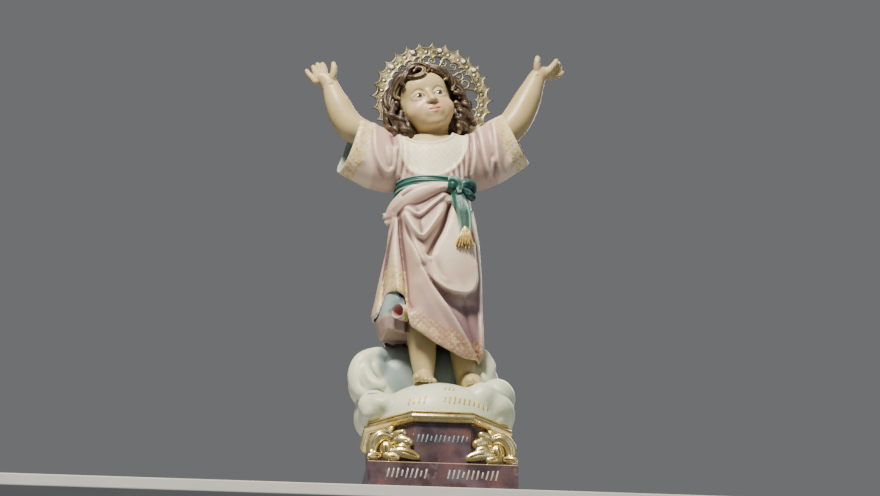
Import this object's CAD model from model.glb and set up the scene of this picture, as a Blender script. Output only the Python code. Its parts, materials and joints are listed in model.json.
# The looks of a painted plaster child with raised arms on a cloud, with a pierced brass halo, on an
# octagonal plinth of painted marble with gilt sprays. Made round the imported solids, in metres.

import json
import math
import random

import bpy
import numpy as np
from mathutils import Euler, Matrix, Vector

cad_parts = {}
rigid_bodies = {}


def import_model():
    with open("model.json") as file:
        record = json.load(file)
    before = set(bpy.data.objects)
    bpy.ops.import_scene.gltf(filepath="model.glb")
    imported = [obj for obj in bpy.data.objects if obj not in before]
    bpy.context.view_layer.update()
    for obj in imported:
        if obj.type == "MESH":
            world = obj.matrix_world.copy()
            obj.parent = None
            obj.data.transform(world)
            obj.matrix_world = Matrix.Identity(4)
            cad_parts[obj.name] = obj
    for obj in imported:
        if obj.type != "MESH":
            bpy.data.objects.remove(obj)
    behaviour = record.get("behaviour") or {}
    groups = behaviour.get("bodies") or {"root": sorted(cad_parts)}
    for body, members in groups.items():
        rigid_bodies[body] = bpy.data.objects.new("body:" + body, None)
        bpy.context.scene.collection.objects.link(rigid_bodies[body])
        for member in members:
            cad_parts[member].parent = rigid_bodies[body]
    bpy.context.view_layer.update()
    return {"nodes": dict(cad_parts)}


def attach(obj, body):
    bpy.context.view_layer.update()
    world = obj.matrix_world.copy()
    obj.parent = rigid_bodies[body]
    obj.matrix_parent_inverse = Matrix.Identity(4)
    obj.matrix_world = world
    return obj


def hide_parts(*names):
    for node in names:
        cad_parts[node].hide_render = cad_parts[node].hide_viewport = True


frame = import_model()

# Shapes are worked out in millimetres and made in metres.
MM = 0.001
FAR = 1000.0

BLOCK_TOP = 50
DRUM_ACROSS = 264
MOULDING_LOW = 132.6
CLOUD_FLOOR = 154.9
HALO_CENTRE = (-1, 58, 903)

HEAD_MIDDLE = (-23, -6, 853)
HEAD_SIZE = 1.16
HEAD_TURN = Euler((math.radians(-4), math.radians(-15), math.radians(5)), "XYZ")


# The camera, the floor and the light.

def set_camera():
    """Looks up at the statue from low in front, as the photograph does."""
    sideways = math.radians(-6)
    upward = math.radians(-22)
    away = 6.6
    target = Vector((0.00909, 0.0, 0.54826))
    level = math.cos(upward)
    back = Vector((math.sin(sideways) * level, -math.cos(sideways) * level, math.sin(upward)))
    bpy.ops.object.camera_add(location=target + back * away)
    camera = bpy.context.object
    camera.name = "viewpoint"
    camera.rotation_euler = (-back).to_track_quat("-Z", "Y").to_euler()
    camera.data.lens = 135
    camera.data.sensor_width = 36
    camera.data.clip_end = 100
    bpy.context.scene.camera = camera


# Each light's place and size in metres, its power in watts and its colour.
LIGHTS = {
    "key_light": {"place": (-0.75, -1.9, 2.7), "size": 0.7, "power": 205, "colour": (1.0, 0.93, 0.76)},
    "fill_light": {"place": (2.2, -2.6, 0.5), "size": 2.0, "power": 14, "colour": (0.94, 0.96, 1.0)},
    "back_light": {"place": (0.9, 2.2, 2.0), "size": 1.5, "power": 34, "colour": (1.0, 1.0, 1.0)},
}


def set_light():
    """Square soft lights that face the child's chest, and an even grey all round."""
    chest = Vector((0, 0, 0.6))
    for name, made in LIGHTS.items():
        bpy.ops.object.light_add(type="AREA", location=made["place"])
        light = bpy.context.object
        light.name = name
        light.data.size = made["size"]
        light.data.energy = made["power"]
        light.data.color = made["colour"]
        light.rotation_euler = (chest - Vector(made["place"])).to_track_quat("-Z", "Y").to_euler()
    world = bpy.data.worlds.new("studio")
    world.use_nodes = True
    backdrop = world.node_tree.nodes["Background"]
    backdrop.inputs["Color"].default_value = (0.80, 0.81, 0.83, 1)
    backdrop.inputs["Strength"].default_value = 0.2
    bpy.context.scene.world = world


# Finishes.

class Value:
    """A number in a finish's nodes, so that its maths is written as Python expressions."""

    def __init__(self, finish, socket):
        self.finish = finish
        self.socket = socket

    def math(self, operation, first, second=0.0):
        made = self.finish.node("ShaderNodeMath", {"operation": operation}, {0: first, 1: second})
        return Value(self.finish, made.outputs[0])

    def __add__(self, other):
        return self.math("ADD", self, other)

    __radd__ = __add__

    def __mul__(self, other):
        return self.math("MULTIPLY", self, other)

    __rmul__ = __mul__

    def __sub__(self, other):
        return self.math("SUBTRACT", self, other)

    def __rsub__(self, other):
        return self.math("SUBTRACT", other, self)

    def __truediv__(self, other):
        return self.math("DIVIDE", self, other)

    def __pow__(self, other):
        return self.math("POWER", self, other)

    def either(self, other):
        return self.math("MAXIMUM", self, other)

    def size(self):
        return self.math("ABSOLUTE", self)

    def wave(self):
        return self.math("SINE", self)

    def step(self, low, high):
        """Rises smoothly from 0 at low to 1 at high, or falls where high is the smaller."""
        low, high, start, end = (low, high, 0.0, 1.0) if low < high else (high, low, 1.0, 0.0)
        settings = {"interpolation_type": "SMOOTHSTEP"}
        sockets = {"Value": self, "From Min": low, "From Max": high, "To Min": start, "To Max": end}
        return Value(self.finish, self.finish.node("ShaderNodeMapRange", settings, sockets).outputs[0])


class Finish:
    """A material that is built up from nodes on one Principled shader."""

    def __init__(self, name, roughness=0.5, metallic=0.0, **constants):
        self.material = bpy.data.materials.new(name)
        self.material.use_nodes = True
        self.tree = self.material.node_tree
        self.shader = self.tree.nodes["Principled BSDF"]
        self.shader.inputs["Roughness"].default_value = roughness
        self.shader.inputs["Metallic"].default_value = metallic
        for socket, constant in constants.items():
            self.shader.inputs[socket.replace("_", " ")].default_value = constant
        self.place = self.node("ShaderNodeTexCoord", {}, {}).outputs["Object"]

    def node(self, kind, settings, sockets):
        made = self.tree.nodes.new(kind)
        for setting, value in settings.items():
            setattr(made, setting, value)
        for socket, value in sockets.items():
            self.feed(made.inputs[socket], value)
        return made

    def feed(self, socket, value):
        if isinstance(value, Value):
            value = value.socket
        if isinstance(value, bpy.types.NodeSocket):
            self.tree.links.new(value, socket)
        elif isinstance(value, (tuple, list)) and len(value) == 3 and socket.type == "RGBA":
            socket.default_value = (*value, 1)
        else:
            socket.default_value = value

    def noise(self, scale, detail=3.0, stretch=(1, 1, 1), rough=0.55):
        """Soft clouds of paint, from 0 to 1; scale is in patches to the metre."""
        place = self.node("ShaderNodeMapping", {}, {"Vector": self.place, "Scale": stretch}).outputs[0]
        sockets = {"Vector": place, "Scale": scale, "Detail": detail, "Roughness": rough}
        return Value(self, self.node("ShaderNodeTexNoise", {}, sockets).outputs[0])

    def cells(self, scale, feature="F1", stretch=(1, 1, 1)):
        """The distance to the nearest of many scattered dots."""
        place = self.node("ShaderNodeMapping", {}, {"Vector": self.place, "Scale": stretch}).outputs[0]
        made = self.node("ShaderNodeTexVoronoi", {"feature": feature}, {"Vector": place, "Scale": scale})
        return Value(self, made.outputs["Distance"])

    def attribute(self, name):
        """A number that the mesh carries at its points."""
        return Value(self, self.node("ShaderNodeAttribute", {"attribute_name": name}, {}).outputs["Fac"])

    def axes(self, centre=(0, 0, 0), turn=(0, 0, 0), size=1.0):
        """The place on the piece as x, y and z in metres, from a centre and along turned axes."""
        sockets = {"Vector": self.place, "Location": centre, "Rotation": turn, "Scale": (size, size, size)}
        place = self.node("ShaderNodeMapping", {"vector_type": "TEXTURE"}, sockets).outputs[0]
        split = self.node("ShaderNodeSeparateXYZ", {}, {0: place})
        return [Value(self, split.outputs[i]) for i in range(3)]

    def mix(self, share, first, second):
        sockets = {0: share, 6: first, 7: second}
        return self.node("ShaderNodeMix", {"data_type": "RGBA"}, sockets).outputs[2]

    def two_tone(self, scale, detail, band, dark, light):
        """Soft patches of a dark and a light colour, which turn where the noise crosses a band."""
        return self.mix(self.noise(scale, detail).step(*band), dark, light)

    def over(self, colour, name, share, shade, band=None):
        """A shade laid over a colour by a number of the mesh, or where that number crosses a band."""
        mark = self.attribute(name)
        if band is not None:
            mark = mark.step(*band)
        return self.mix(mark * share, colour, shade)

    def dullness(self, scale, spread, least):
        """A roughness that varies in patches, from the least up."""
        return self.noise(scale).step(0.2, 0.8) * spread + least

    def wear(self, colour, amount):
        """Dust in the hollows and small chips that show the pale plaster."""
        dust = self.noise(60) * self.attribute("recess").step(-0.05, -0.5) * amount
        dusty = self.mix(dust, colour, (0.30, 0.24, 0.19))
        chip = self.noise(150, 4).step(0.73, 0.76) * amount
        return self.mix(chip, dusty, (0.86, 0.82, 0.74))

    def relief(self, height, distance, strength=0.6):
        sockets = {"Height": height, "Distance": distance, "Strength": strength}
        self.feed(self.shader.inputs["Normal"], self.node("ShaderNodeBump", {}, sockets).outputs[0])

    def done(self, colour, roughness=None, metallic=None):
        self.feed(self.shader.inputs["Base Color"], colour)
        if roughness is not None:
            self.feed(self.shader.inputs["Roughness"], roughness)
        if metallic is not None:
            self.feed(self.shader.inputs["Metallic"], metallic)
        return self.material


# Modelling clay.

RIDGE_REACH = 2.5
TINY = 1e-6


def soft_minimum(first, second, blend):
    """The smaller of two distances, rounded where they meet."""
    if blend <= 0:
        return np.minimum(first, second)
    share = np.clip(0.5 + 0.5 * (second - first) / blend, 0, 1)
    return second + share * (first - second) - blend * share * (1 - share)


def smooth_step(value, low, high):
    """Rises smoothly from 0 at low to 1 at high."""
    share = np.clip((value - low) / (high - low), 0, 1)
    return share * share * (3 - 2 * share)


def smooth_path(points, steps):
    """More points along a path, on one smooth curve through the given ones."""
    given = np.array(points, float)
    if len(given) < 3:
        steps = max(steps, 2)
    before = np.vstack([2 * given[0] - given[1], given, 2 * given[-1] - given[-2]])
    made = []
    for i in range(len(given) - 1):
        a, b, c, d = before[i:i + 4]
        for step in range(steps):
            t = step / steps
            bend = (c - a) + (2 * a - 5 * b + 4 * c - d) * t + (3 * b - a - 3 * c + d) * t * t
            made.append(b + 0.5 * t * bend)
    made.append(given[-1])
    return np.array(made)


class Clay:
    """A block of cells whose corners hold their distance to the clay's surface, in mm."""

    def __init__(self, low, high, cell):
        self.low = np.array(low, float)
        self.cell = cell * 1
        self.counts = np.ceil((np.array(high) - self.low) / self.cell).astype(int) + 1
        self.axes = [self.low[i] + self.cell * np.arange(self.counts[i]) for i in range(3)]
        self.distance = np.full(self.counts, FAR, np.float32)

    def window(self, low, high):
        """The part of the block round a box, and the coordinates of its corners."""
        start = np.floor((np.array(low) - self.low) / self.cell).astype(int)
        stop = np.ceil((np.array(high) - self.low) / self.cell).astype(int) + 1
        start = np.clip(start, 0, self.counts)
        stop = np.clip(stop, 0, self.counts)
        part = tuple(slice(a, b) for a, b in zip(start, stop))
        x, y, z = (self.axes[i][part[i]].astype(np.float32) for i in range(3))
        return part, x[:, None, None], y[None, :, None], z[None, None, :]

    def add(self, shape, blend=0.0):
        part, distance = shape(self, blend + 2 * self.cell)
        self.distance[part] = soft_minimum(self.distance[part], distance, blend)

    def cut(self, shape, blend=0.0):
        part, distance = shape(self, blend + 2 * self.cell)
        self.distance[part] = -soft_minimum(-self.distance[part], distance, blend)

    def press(self, path, width, height, steps=4):
        """Raises a ridge along a path, or presses a groove where the height is negative."""
        stations = [[*point[:3], width] for point in path]
        part, distance = limb(stations, steps)(self, RIDGE_REACH * width)
        near = np.clip(distance + width, 0, FAR) / width
        self.distance[part] -= height * np.exp(-near * near)

    def blurred(self, reach):
        """The distances averaged over a small box, which tells hollows from crests."""
        size = max(1, round(reach / self.cell))
        soft = np.clip(self.distance, -2 * reach, 2 * reach)
        for axis in range(3):
            pad = [(0, 0)] * 3
            pad[axis] = (size + 1, size)
            total = np.cumsum(np.pad(soft, pad, mode="edge"), axis=axis, dtype=np.float32)
            ahead = np.take(total, range(2 * size + 1, total.shape[axis]), axis=axis)
            behind = np.take(total, range(0, total.shape[axis] - 2 * size - 1), axis=axis)
            soft = (ahead - behind) / (2 * size + 1)
        return soft

    def read(self, field, points):
        """A field's values at points in mm, between the eight corners round each."""
        at = (points - self.low) / self.cell
        corner = np.clip(np.floor(at).astype(int), 0, self.counts - 2)
        share = at - corner
        value = 0
        for offset in np.ndindex(2, 2, 2):
            near = np.abs(1 - np.array(offset) - share)
            i, j, k = (corner + offset).T
            value = value + near[:, 0] * near[:, 1] * near[:, 2] * field[i, j, k]
        return value

    def skin(self):
        """The clay's surface as points and four-sided faces."""
        stride = np.array([self.counts[1] * self.counts[2], self.counts[2], 1])
        faces = []
        places = []
        for axis in range(3):
            ahead = [slice(None)] * 3
            behind = [slice(None)] * 3
            ahead[axis] = slice(1, None)
            behind[axis] = slice(None, -1)
            near, far = self.distance[tuple(behind)], self.distance[tuple(ahead)]
            at = np.argwhere((near < 0) != (far < 0))
            first = near[tuple(at.T)]
            second = far[tuple(at.T)]
            place = at.astype(float)
            place[:, axis] += first / (first - second)
            offsets = np.zeros((4, 3), int)
            offsets[[1, 2], (axis + 1) % 3] = -1
            offsets[[2, 3], (axis + 2) % 3] = -1
            face = (at[:, None, :] + offsets[None]) @ stride
            face[first >= 0] = face[first >= 0][:, ::-1]
            faces.append(face)
            places.append(place)
        faces = np.vstack(faces)
        places = np.repeat(np.vstack(places), 4, axis=0)
        _, corners = np.unique(faces.ravel(), return_inverse=True)
        count = np.bincount(corners)
        points = np.stack([np.bincount(corners, places[:, i]) / count for i in range(3)], axis=1)
        return self.low + self.cell * points, corners.reshape(-1, 4)


def ball(centre, sizes):
    """A ball stretched to its half sizes."""
    centre = np.array(centre, float)
    sizes = np.array(sizes, float)

    def shape(clay, reach):
        part, x, y, z = clay.window(centre - sizes - reach, centre + sizes + reach)
        dx, dy, dz = x - centre[0], y - centre[1], z - centre[2]
        a, b, c = sizes
        near = np.sqrt((dx / a) ** 2 + (dy / b) ** 2 + (dz / c) ** 2)
        slope = np.sqrt((dx / a ** 2) ** 2 + (dy / b ** 2) ** 2 + (dz / c ** 2) ** 2)
        return part, near * (near - 1) / np.maximum(slope, TINY)

    return shape


def limb(stations, steps=5, flat=None, share=1.0):
    """A rounded limb through stations of x, y, z and radius, flattened along a direction to a share."""
    path = smooth_path(stations, steps) if steps > 1 else np.array(stations, float)
    side = None if flat is None else np.array(flat, float) / np.linalg.norm(flat)

    def shape(clay, reach):
        widest = path[:, 3].max() + reach
        part, *_ = clay.window(path[:, :3].min(0) - widest, path[:, :3].max(0) + widest)
        distance = np.full([cut.stop - cut.start for cut in part], FAR, np.float32)
        for start, end in zip(path, path[1:]):
            wide = max(start[3], end[3]) + reach
            low = np.minimum(start[:3], end[:3]) - wide
            high = np.maximum(start[:3], end[:3]) + wide
            near, x, y, z = clay.window(low, high)
            run = end[:3] - start[:3]
            dx, dy, dz = x - start[0], y - start[1], z - start[2]
            along = (dx * run[0] + dy * run[1] + dz * run[2]) / max(run @ run, 1e-9)
            along = np.clip(along, 0, 1)
            dx, dy, dz = dx - along * run[0], dy - along * run[1], dz - along * run[2]
            squared = dx * dx + dy * dy + dz * dz
            if side is not None:
                squared = squared + (dx * side[0] + dy * side[1] + dz * side[2]) ** 2 * (share ** -2 - 1)
            reached = np.sqrt(squared) - (start[3] + along * (end[3] - start[3]))
            inner = tuple(slice(n.start - p.start, n.stop - p.start) for n, p in zip(near, part))
            distance[inner] = np.minimum(distance[inner], reached)
        return part, distance

    return shape


def filled(low, high, rule):
    """A shape inside a box, by a rule that gives the distance at x, y and z."""

    def shape(clay, reach):
        part, x, y, z = clay.window(np.array(low) - reach, np.array(high) + reach)
        return part, rule(x, y, z)

    return shape


def drop_selection():
    bpy.ops.object.select_all(action="DESELECT")


def modify(piece, kind, **settings):
    """Adds a modifier with its settings to the active piece, and applies it."""
    bpy.ops.object.modifier_add(type=kind)
    modifier = piece.modifiers[-1]
    for setting, value in settings.items():
        setattr(modifier, setting, value)
    bpy.ops.object.modifier_apply(modifier=modifier.name)


def in_edit_mode(*steps):
    """Runs editing steps on the active piece, and goes back to object mode."""
    bpy.ops.object.mode_set(mode="EDIT")
    for step in steps:
        step()
    bpy.ops.object.mode_set(mode="OBJECT")


def select_none():
    bpy.ops.mesh.select_all(action="DESELECT")


def join(pieces, name):
    """One piece of several."""
    drop_selection()
    for piece in pieces:
        piece.select_set(True)
    bpy.context.view_layer.objects.active = pieces[0]
    bpy.ops.object.join()
    joined = bpy.context.object
    joined.name = name
    return joined


def make_piece(name, points, faces, finish, rounds):
    """A piece of points in mm, smoothed by some rounds, which rides on the statue's one body."""
    mesh = bpy.data.meshes.new(name)
    mesh.from_pydata((points * MM).tolist(), [], faces.tolist())
    mesh.update()
    piece = bpy.data.objects.new(name, mesh)
    bpy.context.scene.collection.objects.link(piece)
    drop_selection()
    piece.select_set(True)
    bpy.context.view_layer.objects.active = piece
    modify(piece, "SMOOTH", factor=0.5, iterations=rounds)
    bpy.ops.object.shade_smooth()
    mesh.materials.append(finish)
    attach(piece, "root")
    return piece


def drop_crumbs(piece):
    """Keeps the one big part of a piece, and deletes bits of clay that hang loose beside it."""
    while True:
        in_edit_mode(select_none)
        piece.data.vertices[0].select = True
        in_edit_mode(bpy.ops.mesh.select_linked)
        chosen = np.empty(len(piece.data.vertices), bool)
        piece.data.vertices.foreach_get("select", chosen)
        if chosen.all():
            return
        bpy.ops.object.mode_set(mode="EDIT")
        if chosen.sum() > len(chosen) / 2:
            bpy.ops.mesh.select_all(action="INVERT")
        bpy.ops.mesh.delete(type="VERT")
        bpy.ops.object.mode_set(mode="OBJECT")


def thin_out(piece, share):
    """Collapses a piece's flatter faces until a share of them is left."""
    modify(piece, "DECIMATE", ratio=share)
    bpy.ops.object.shade_smooth()


def points_of(piece):
    """A piece's points in mm."""
    points = np.empty(3 * len(piece.data.vertices), np.float32)
    piece.data.vertices.foreach_get("co", points)
    return points.reshape(-1, 3).astype(float) / MM


def note(piece, name, values):
    """Keeps a number at each point of a piece for its finish to read."""
    kept = piece.data.attributes.new(name, "FLOAT", "POINT")
    kept.data.foreach_set("value", np.asarray(values, np.float32))


# How each piece leaves the clay: its rounds of smoothing, how far round a point its hollows are
# read in mm, and the share of its faces that it keeps.
CLAY_PIECES = {
    "tunic_skirt": (2, 6.0, 1), "skirt_inside": (2, 5.0, 0.5), "tunic_top": (2, 4.0, 1),
    "head": (1, 3.0, 1), "hair": (1, 2.5, 0.5), "chest": (1, 4.0, 0.25),
    "right_arm": (1, 3.0, 0.36), "left_arm": (1, 3.0, 0.36),
    "right_leg": (1, 3.0, 0.4), "left_leg": (1, 3.0, 0.4),
    "sash": (1, 3.0, 0.7), "tassel": (1, 2.0, 1), "cloud": (2, 6.0, 0.5), "pierced_halo": (1, 2.0, 0.5),
}


def from_clay(name, clay, finish, turn=None, whole=None):
    """A piece from clay, with its hollows noted. A turn carries the clay's axes to the statue's.
    For thin cloth the hollows are read from the whole shape that it was cut from."""
    rounds, reach, share = CLAY_PIECES[name]
    points, faces = clay.skin()
    if turn is not None:
        matrix = np.array(turn.to_matrix())
        points = HEAD_SIZE * points @ matrix.T + HEAD_MIDDLE
    piece = make_piece(name, points, faces, finish, rounds)
    drop_crumbs(piece)
    if share < 1:
        thin_out(piece, share)
    points = points_of(piece)
    if turn is not None:
        points = (points - HEAD_MIDDLE) @ matrix / HEAD_SIZE
    shape = whole or clay
    note(piece, "recess", clay.read(shape.blurred(reach), points) / reach)
    return piece, points


def head_place(point):
    """A place of the statue in the head's own axes."""
    turned = np.array(HEAD_TURN.to_matrix()).T
    return turned @ (np.array(point, float) - HEAD_MIDDLE) / HEAD_SIZE


# The tunic.

# The plan at each height: z, middle x, middle y, half width, half depth.
TUNIC_PLAN = [
    (284, -8, 0, 98, 76), (345, -10, 0, 103, 80), (392, -17, 0, 106, 81), (440, -14, 0, 101, 79),
    (520, -9, -2, 92, 75), (560, -7, -4, 86, 72), (605, -6, -5, 79, 68), (640, -6, -4, 76, 64),
    (666, -5, -2, 73, 60), (700, -4, 0, 75, 61), (740, -4, 1, 74, 60), (768, -4, 3, 69, 54),
    (786, -5, 5, 58, 46), (797, -6, 6, 42, 38),
]
TUNIC_ROUNDNESS = 2.25
CLOTH = 6
HEM_FRONT = [
    (-128, 400), (-121, 389), (-114, 394), (-108, 410), (-103, 424), (-94, 427), (-78, 420), (-66, 411),
    (-60, 362), (-52, 348), (-36, 337), (-10, 318), (24, 301), (48, 292), (77, 290), (87, 301), (94, 316),
    (104, 335),
]
HEM_BEHIND = {"at_middle": 340, "slope": -0.12, "side_rise": 38, "side": (94, 114), "from_y": (-20, 35)}
SKIRT_BOX = ((-140, -112, 280), (112, 92, 668))
UNCUT_BOX = ((-140, -112, 284), (112, 92, 664))
HOLLOW_BOX = ((-140, -112, 282), (112, 92, 480))
SKIRT_CELL = 2.2
SKIRT_TOP = 664
HOLLOW_TOP = 470
INNER_PLEATS = {"depth": 2.5, "count": 11, "drift": 30, "fade": (2, 40)}

# The hem's turned-back edge beside the left panel of the skirt, a cone that is open at its mouth.
CURL_ROOT = np.array((-66.0, -50, 386))
CURL_MOUTH = np.array((-81.0, -70, 383))
CURL_WAY = (CURL_MOUTH - CURL_ROOT) / np.linalg.norm(CURL_MOUTH - CURL_ROOT)
CURL = {"root_radius": 17, "radius": 15.5, "deep": 8, "bottom": 6.5, "inner": 11.5, "ahead": 18, "flare": 18}

# The cloth inside the skirt at its open side: how far in from the skin it lies above and below.
SKIRT_INSIDE = {
    "box": ((-126, -80, 340), (-32, 62, 474)), "cell": 1.7, "top": 452, "foot": 350, "end_x": -38,
    "above": 10, "below": 16, "step_z": 387, "step_half": 5, "step_wave": 4, "foot_wave": 3,
    "folds": 9, "depth": 3, "second_folds": 2.3, "second_depth": 0.4, "calm_at_side": 0.7,
    "at_side": 3.5, "side": (84, 104), "under_hem": (-6, 4),
    "behind_crease": 26, "crease": (-84, -68), "over_hem": (-4, 3), "past_crease": (-68, -61),
}

# Carved folds in front: the crest's path as x and z, its height, and its width on the right hand
# and on the left hand of the path. A negative height is a valley.
LONG_RIDGE = [
    (-74, 588), (-65, 544), (-51, 508), (-38, 476), (-22, 445), (1, 411), (24, 375), (47, 338), (74, 298),
]
POUCH_EDGE = [
    (-69, 592), (-61, 560), (-51, 527), (-38, 495), (-22, 458), (1, 433), (24, 421), (51, 421), (67, 432),
    (75, 454), (74, 486), (70, 530),
]
PANEL_CREST = ([(-88, 590), (-90, 540), (-87, 490), (-83, 440), (-80, 412)], 11, 12, 10)
SKIRT_FOLDS = [
    (LONG_RIDGE, 17, 15, 4),
    (POUCH_EDGE, 17, 4.5, 19),
    ([(-70, 586), (-56, 556), (-44, 539), (-35, 535), (-26, 544), (-10, 568), (4, 590), (18, 616)],
     15, 4.5, 15),
    ([(-66, 602), (-51, 588), (-40, 586), (-25, 598), (-10, 612), (10, 630)], 10, 4, 9),
    ([(19, 612), (13, 582), (4, 556), (-9, 530), (-20, 503)], -18, 9, 5),
    ([(-31, 505), (-20, 492), (-13, 487), (-9, 472), (-1, 456), (10, 444)], 4, 4, 8),
    ([(-30, 474), (-12, 436), (10, 410), (40, 398), (66, 404)], -10, 12, 7),
    ([(-77, 590), (-74, 543), (-70, 505), (-65, 454), (-62, 396)], -20, 6, 14),
    PANEL_CREST,
    ([(-84, 600), (-91, 560), (-98, 520), (-103, 480), (-107, 440), (-111, 398)], -7, 4, 4),
    ([(-40, 440), (-8, 380), (28, 318)], 4, 14, 12),
    ([(70, 610), (82, 540), (87, 450), (88, 360), (90, 310)], 9, 6, 6),
    ([(50, 404), (64, 356), (80, 306)], -9, 13, 8),
    ([(66, 560), (72, 500)], -3, 6, 5),
    ([(28, 630), (36, 570), (48, 520)], 4, 8, 10),
]
THIGH = {"x": 36, "z": 498, "half_width": 38, "half_height": 76, "height": 12}
TOP_FOLDS = [
    ([(-128, 800), (-127, 740), (-117, 708), (-102, 690), (-90, 699), (-86, 740)], 8, 5, 15),
    ([(-92, 775), (-90, 730), (-93, 705)], -6, 7, 9),
    ([(-78, 778), (-75, 735), (-79, 688)], 5, 5, 6),
    ([(-66, 772), (-63, 720), (-70, 680)], 4, 4, 4),
    ([(84, 800), (91, 746), (100, 712), (108, 700), (113, 722)], 7, 5, 12),
    ([(112, 812), (118, 745), (126, 712), (140, 705), (150, 726)], 8, 5, 14),
    ([(72, 785), (74, 735), (70, 694)], 5, 5, 6),
    ([(60, 775), (59, 730), (58, 690)], 4, 4, 4),
    ([(-48, 690), (-40, 668)], 3, 4, 4),
    ([(-30, 684), (-16, 668)], 3, 4, 4),
    ([(24, 692), (30, 668)], 4, 4, 4),
    ([(36, 708), (40, 668)], 4, 4, 4),
    ([(48, 722), (50, 670)], 4, 4, 4),
    ([(-150, 800), (-160, 750), (-152, 715)], 4, 8, 10),
]
YOKE_EDGE = [
    (-74, 790), (-73, 742), (-67, 712), (-47, 686), (-18, 677), (13, 685), (40, 708), (57, 748), (62, 800),
]
YOKE_ROLL = {"height": 2.2, "width": 2.6}
NECKLINE = [(-64, 806), (-60, 778), (-48, 764), (-20, 757), (10, 765), (26, 779), (34, 806)]
CRISPNESS = 1.6

BACK_PLEATS = {"count": 11, "height": 5, "from_z": 640, "growth": 200, "drift": 180}

# How the front's folds fade into the back's pleats, by the sine of the way round.
FRONT_FADE = (-0.15, 0.3)


def tunic_row(z):
    """The middle and half sizes of the tunic's plan at each height, on smooth curves."""
    rows = smooth_path(TUNIC_PLAN, 6)
    return [np.interp(z, rows[:, 0], rows[:, i]).astype(np.float32) for i in range(1, 5)]


def path_distance(x, z, path):
    """The distance from a path on the front view, and the hand of the path that a place is on, from -1
    on the right hand to 1 on the left and passing through 0 past the path's ends."""
    nearest = np.full(np.broadcast(x, z).shape, FAR, np.float32)
    hand = np.zeros_like(nearest)
    line = smooth_path(path, 4)
    for (start_x, start_z), (end_x, end_z) in zip(line, line[1:]):
        run_x, run_z = end_x - start_x, end_z - start_z
        length = max(run_x ** 2 + run_z ** 2, TINY)
        share = np.clip(((x - start_x) * run_x + (z - start_z) * run_z) / length, 0, 1)
        off_x = x - start_x - share * run_x
        off_z = z - start_z - share * run_z
        off = np.hypot(off_x, off_z)
        closer = off < nearest
        nearest = np.where(closer, off, nearest)
        turned = (run_x * off_z - run_z * off_x) / (math.sqrt(length) * np.maximum(off, 1e-3))
        hand = np.where(closer, turned, hand)
    return nearest, hand


def fold_relief(x, z, folds):
    """How far the folds stand out over the front view."""
    relief = 0
    for path, height, right_width, left_width in folds:
        off, hand = path_distance(x, z, path)
        width = right_width + (left_width - right_width) * (1 + hand) / 2
        relief = relief + height * np.exp(-((off / width) ** CRISPNESS))
    return relief


def tunic_polar(x, y, z):
    """The direction round the tunic's middle, and how far outside its plain skin a place is."""
    middle_x, middle_y, half_width, half_depth = tunic_row(z)
    dx, dy = x - middle_x, y - middle_y
    radius = np.maximum(np.hypot(dx, dy), 1e-3)
    c, s = dx / radius, dy / radius
    n = TUNIC_ROUNDNESS
    reach = (np.abs(c / half_width) ** n + np.abs(s / half_depth) ** n) ** (-1 / n)
    return c, s, radius - reach


def hem_height(x, y):
    """The height of the skirt's hem, which is lower and plainer behind."""
    line = smooth_path(HEM_FRONT, 5)
    in_front = np.interp(x, line[:, 0], line[:, 1])
    behind = HEM_BEHIND["at_middle"] + HEM_BEHIND["slope"] * x
    behind = behind + HEM_BEHIND["side_rise"] * smooth_step(-x, *HEM_BEHIND["side"])
    share = smooth_step(y, *HEM_BEHIND["from_y"])
    return (in_front * (1 - share) + behind * share).astype(np.float32)


def height_on(path, x):
    """The height of a line in front at each x, and out of reach beside its ends."""
    line = smooth_path(path, 4)
    return np.interp(x, line[:, 0], line[:, 1], left=FAR, right=FAR)


def thigh_form(x, z):
    """The soft swell of the thigh under the cloth, from 0 to 1."""
    across = ((x - THIGH["x"]) / THIGH["half_width"]) ** 2
    return np.exp(-(across + ((z - THIGH["z"]) / THIGH["half_height"]) ** 2))


def skirt_skin(x, y, z):
    """How far outside the skirt's carved skin a place is."""
    c, s, outside = tunic_polar(x, y, z)
    front = smooth_step(-s, *FRONT_FADE)
    relief = fold_relief(x, z, SKIRT_FOLDS) + THIGH["height"] * thigh_form(x, z)
    depth = BACK_PLEATS["height"] * smooth_step(BACK_PLEATS["from_z"] - z, 0, BACK_PLEATS["growth"])
    wave = BACK_PLEATS["count"] * np.arctan2(s, c) / 2 + z / BACK_PLEATS["drift"]
    pleats = depth * (2 * np.sqrt(np.abs(np.cos(wave))) - 1)
    return outside - front * relief - (1 - front) * pleats


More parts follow.
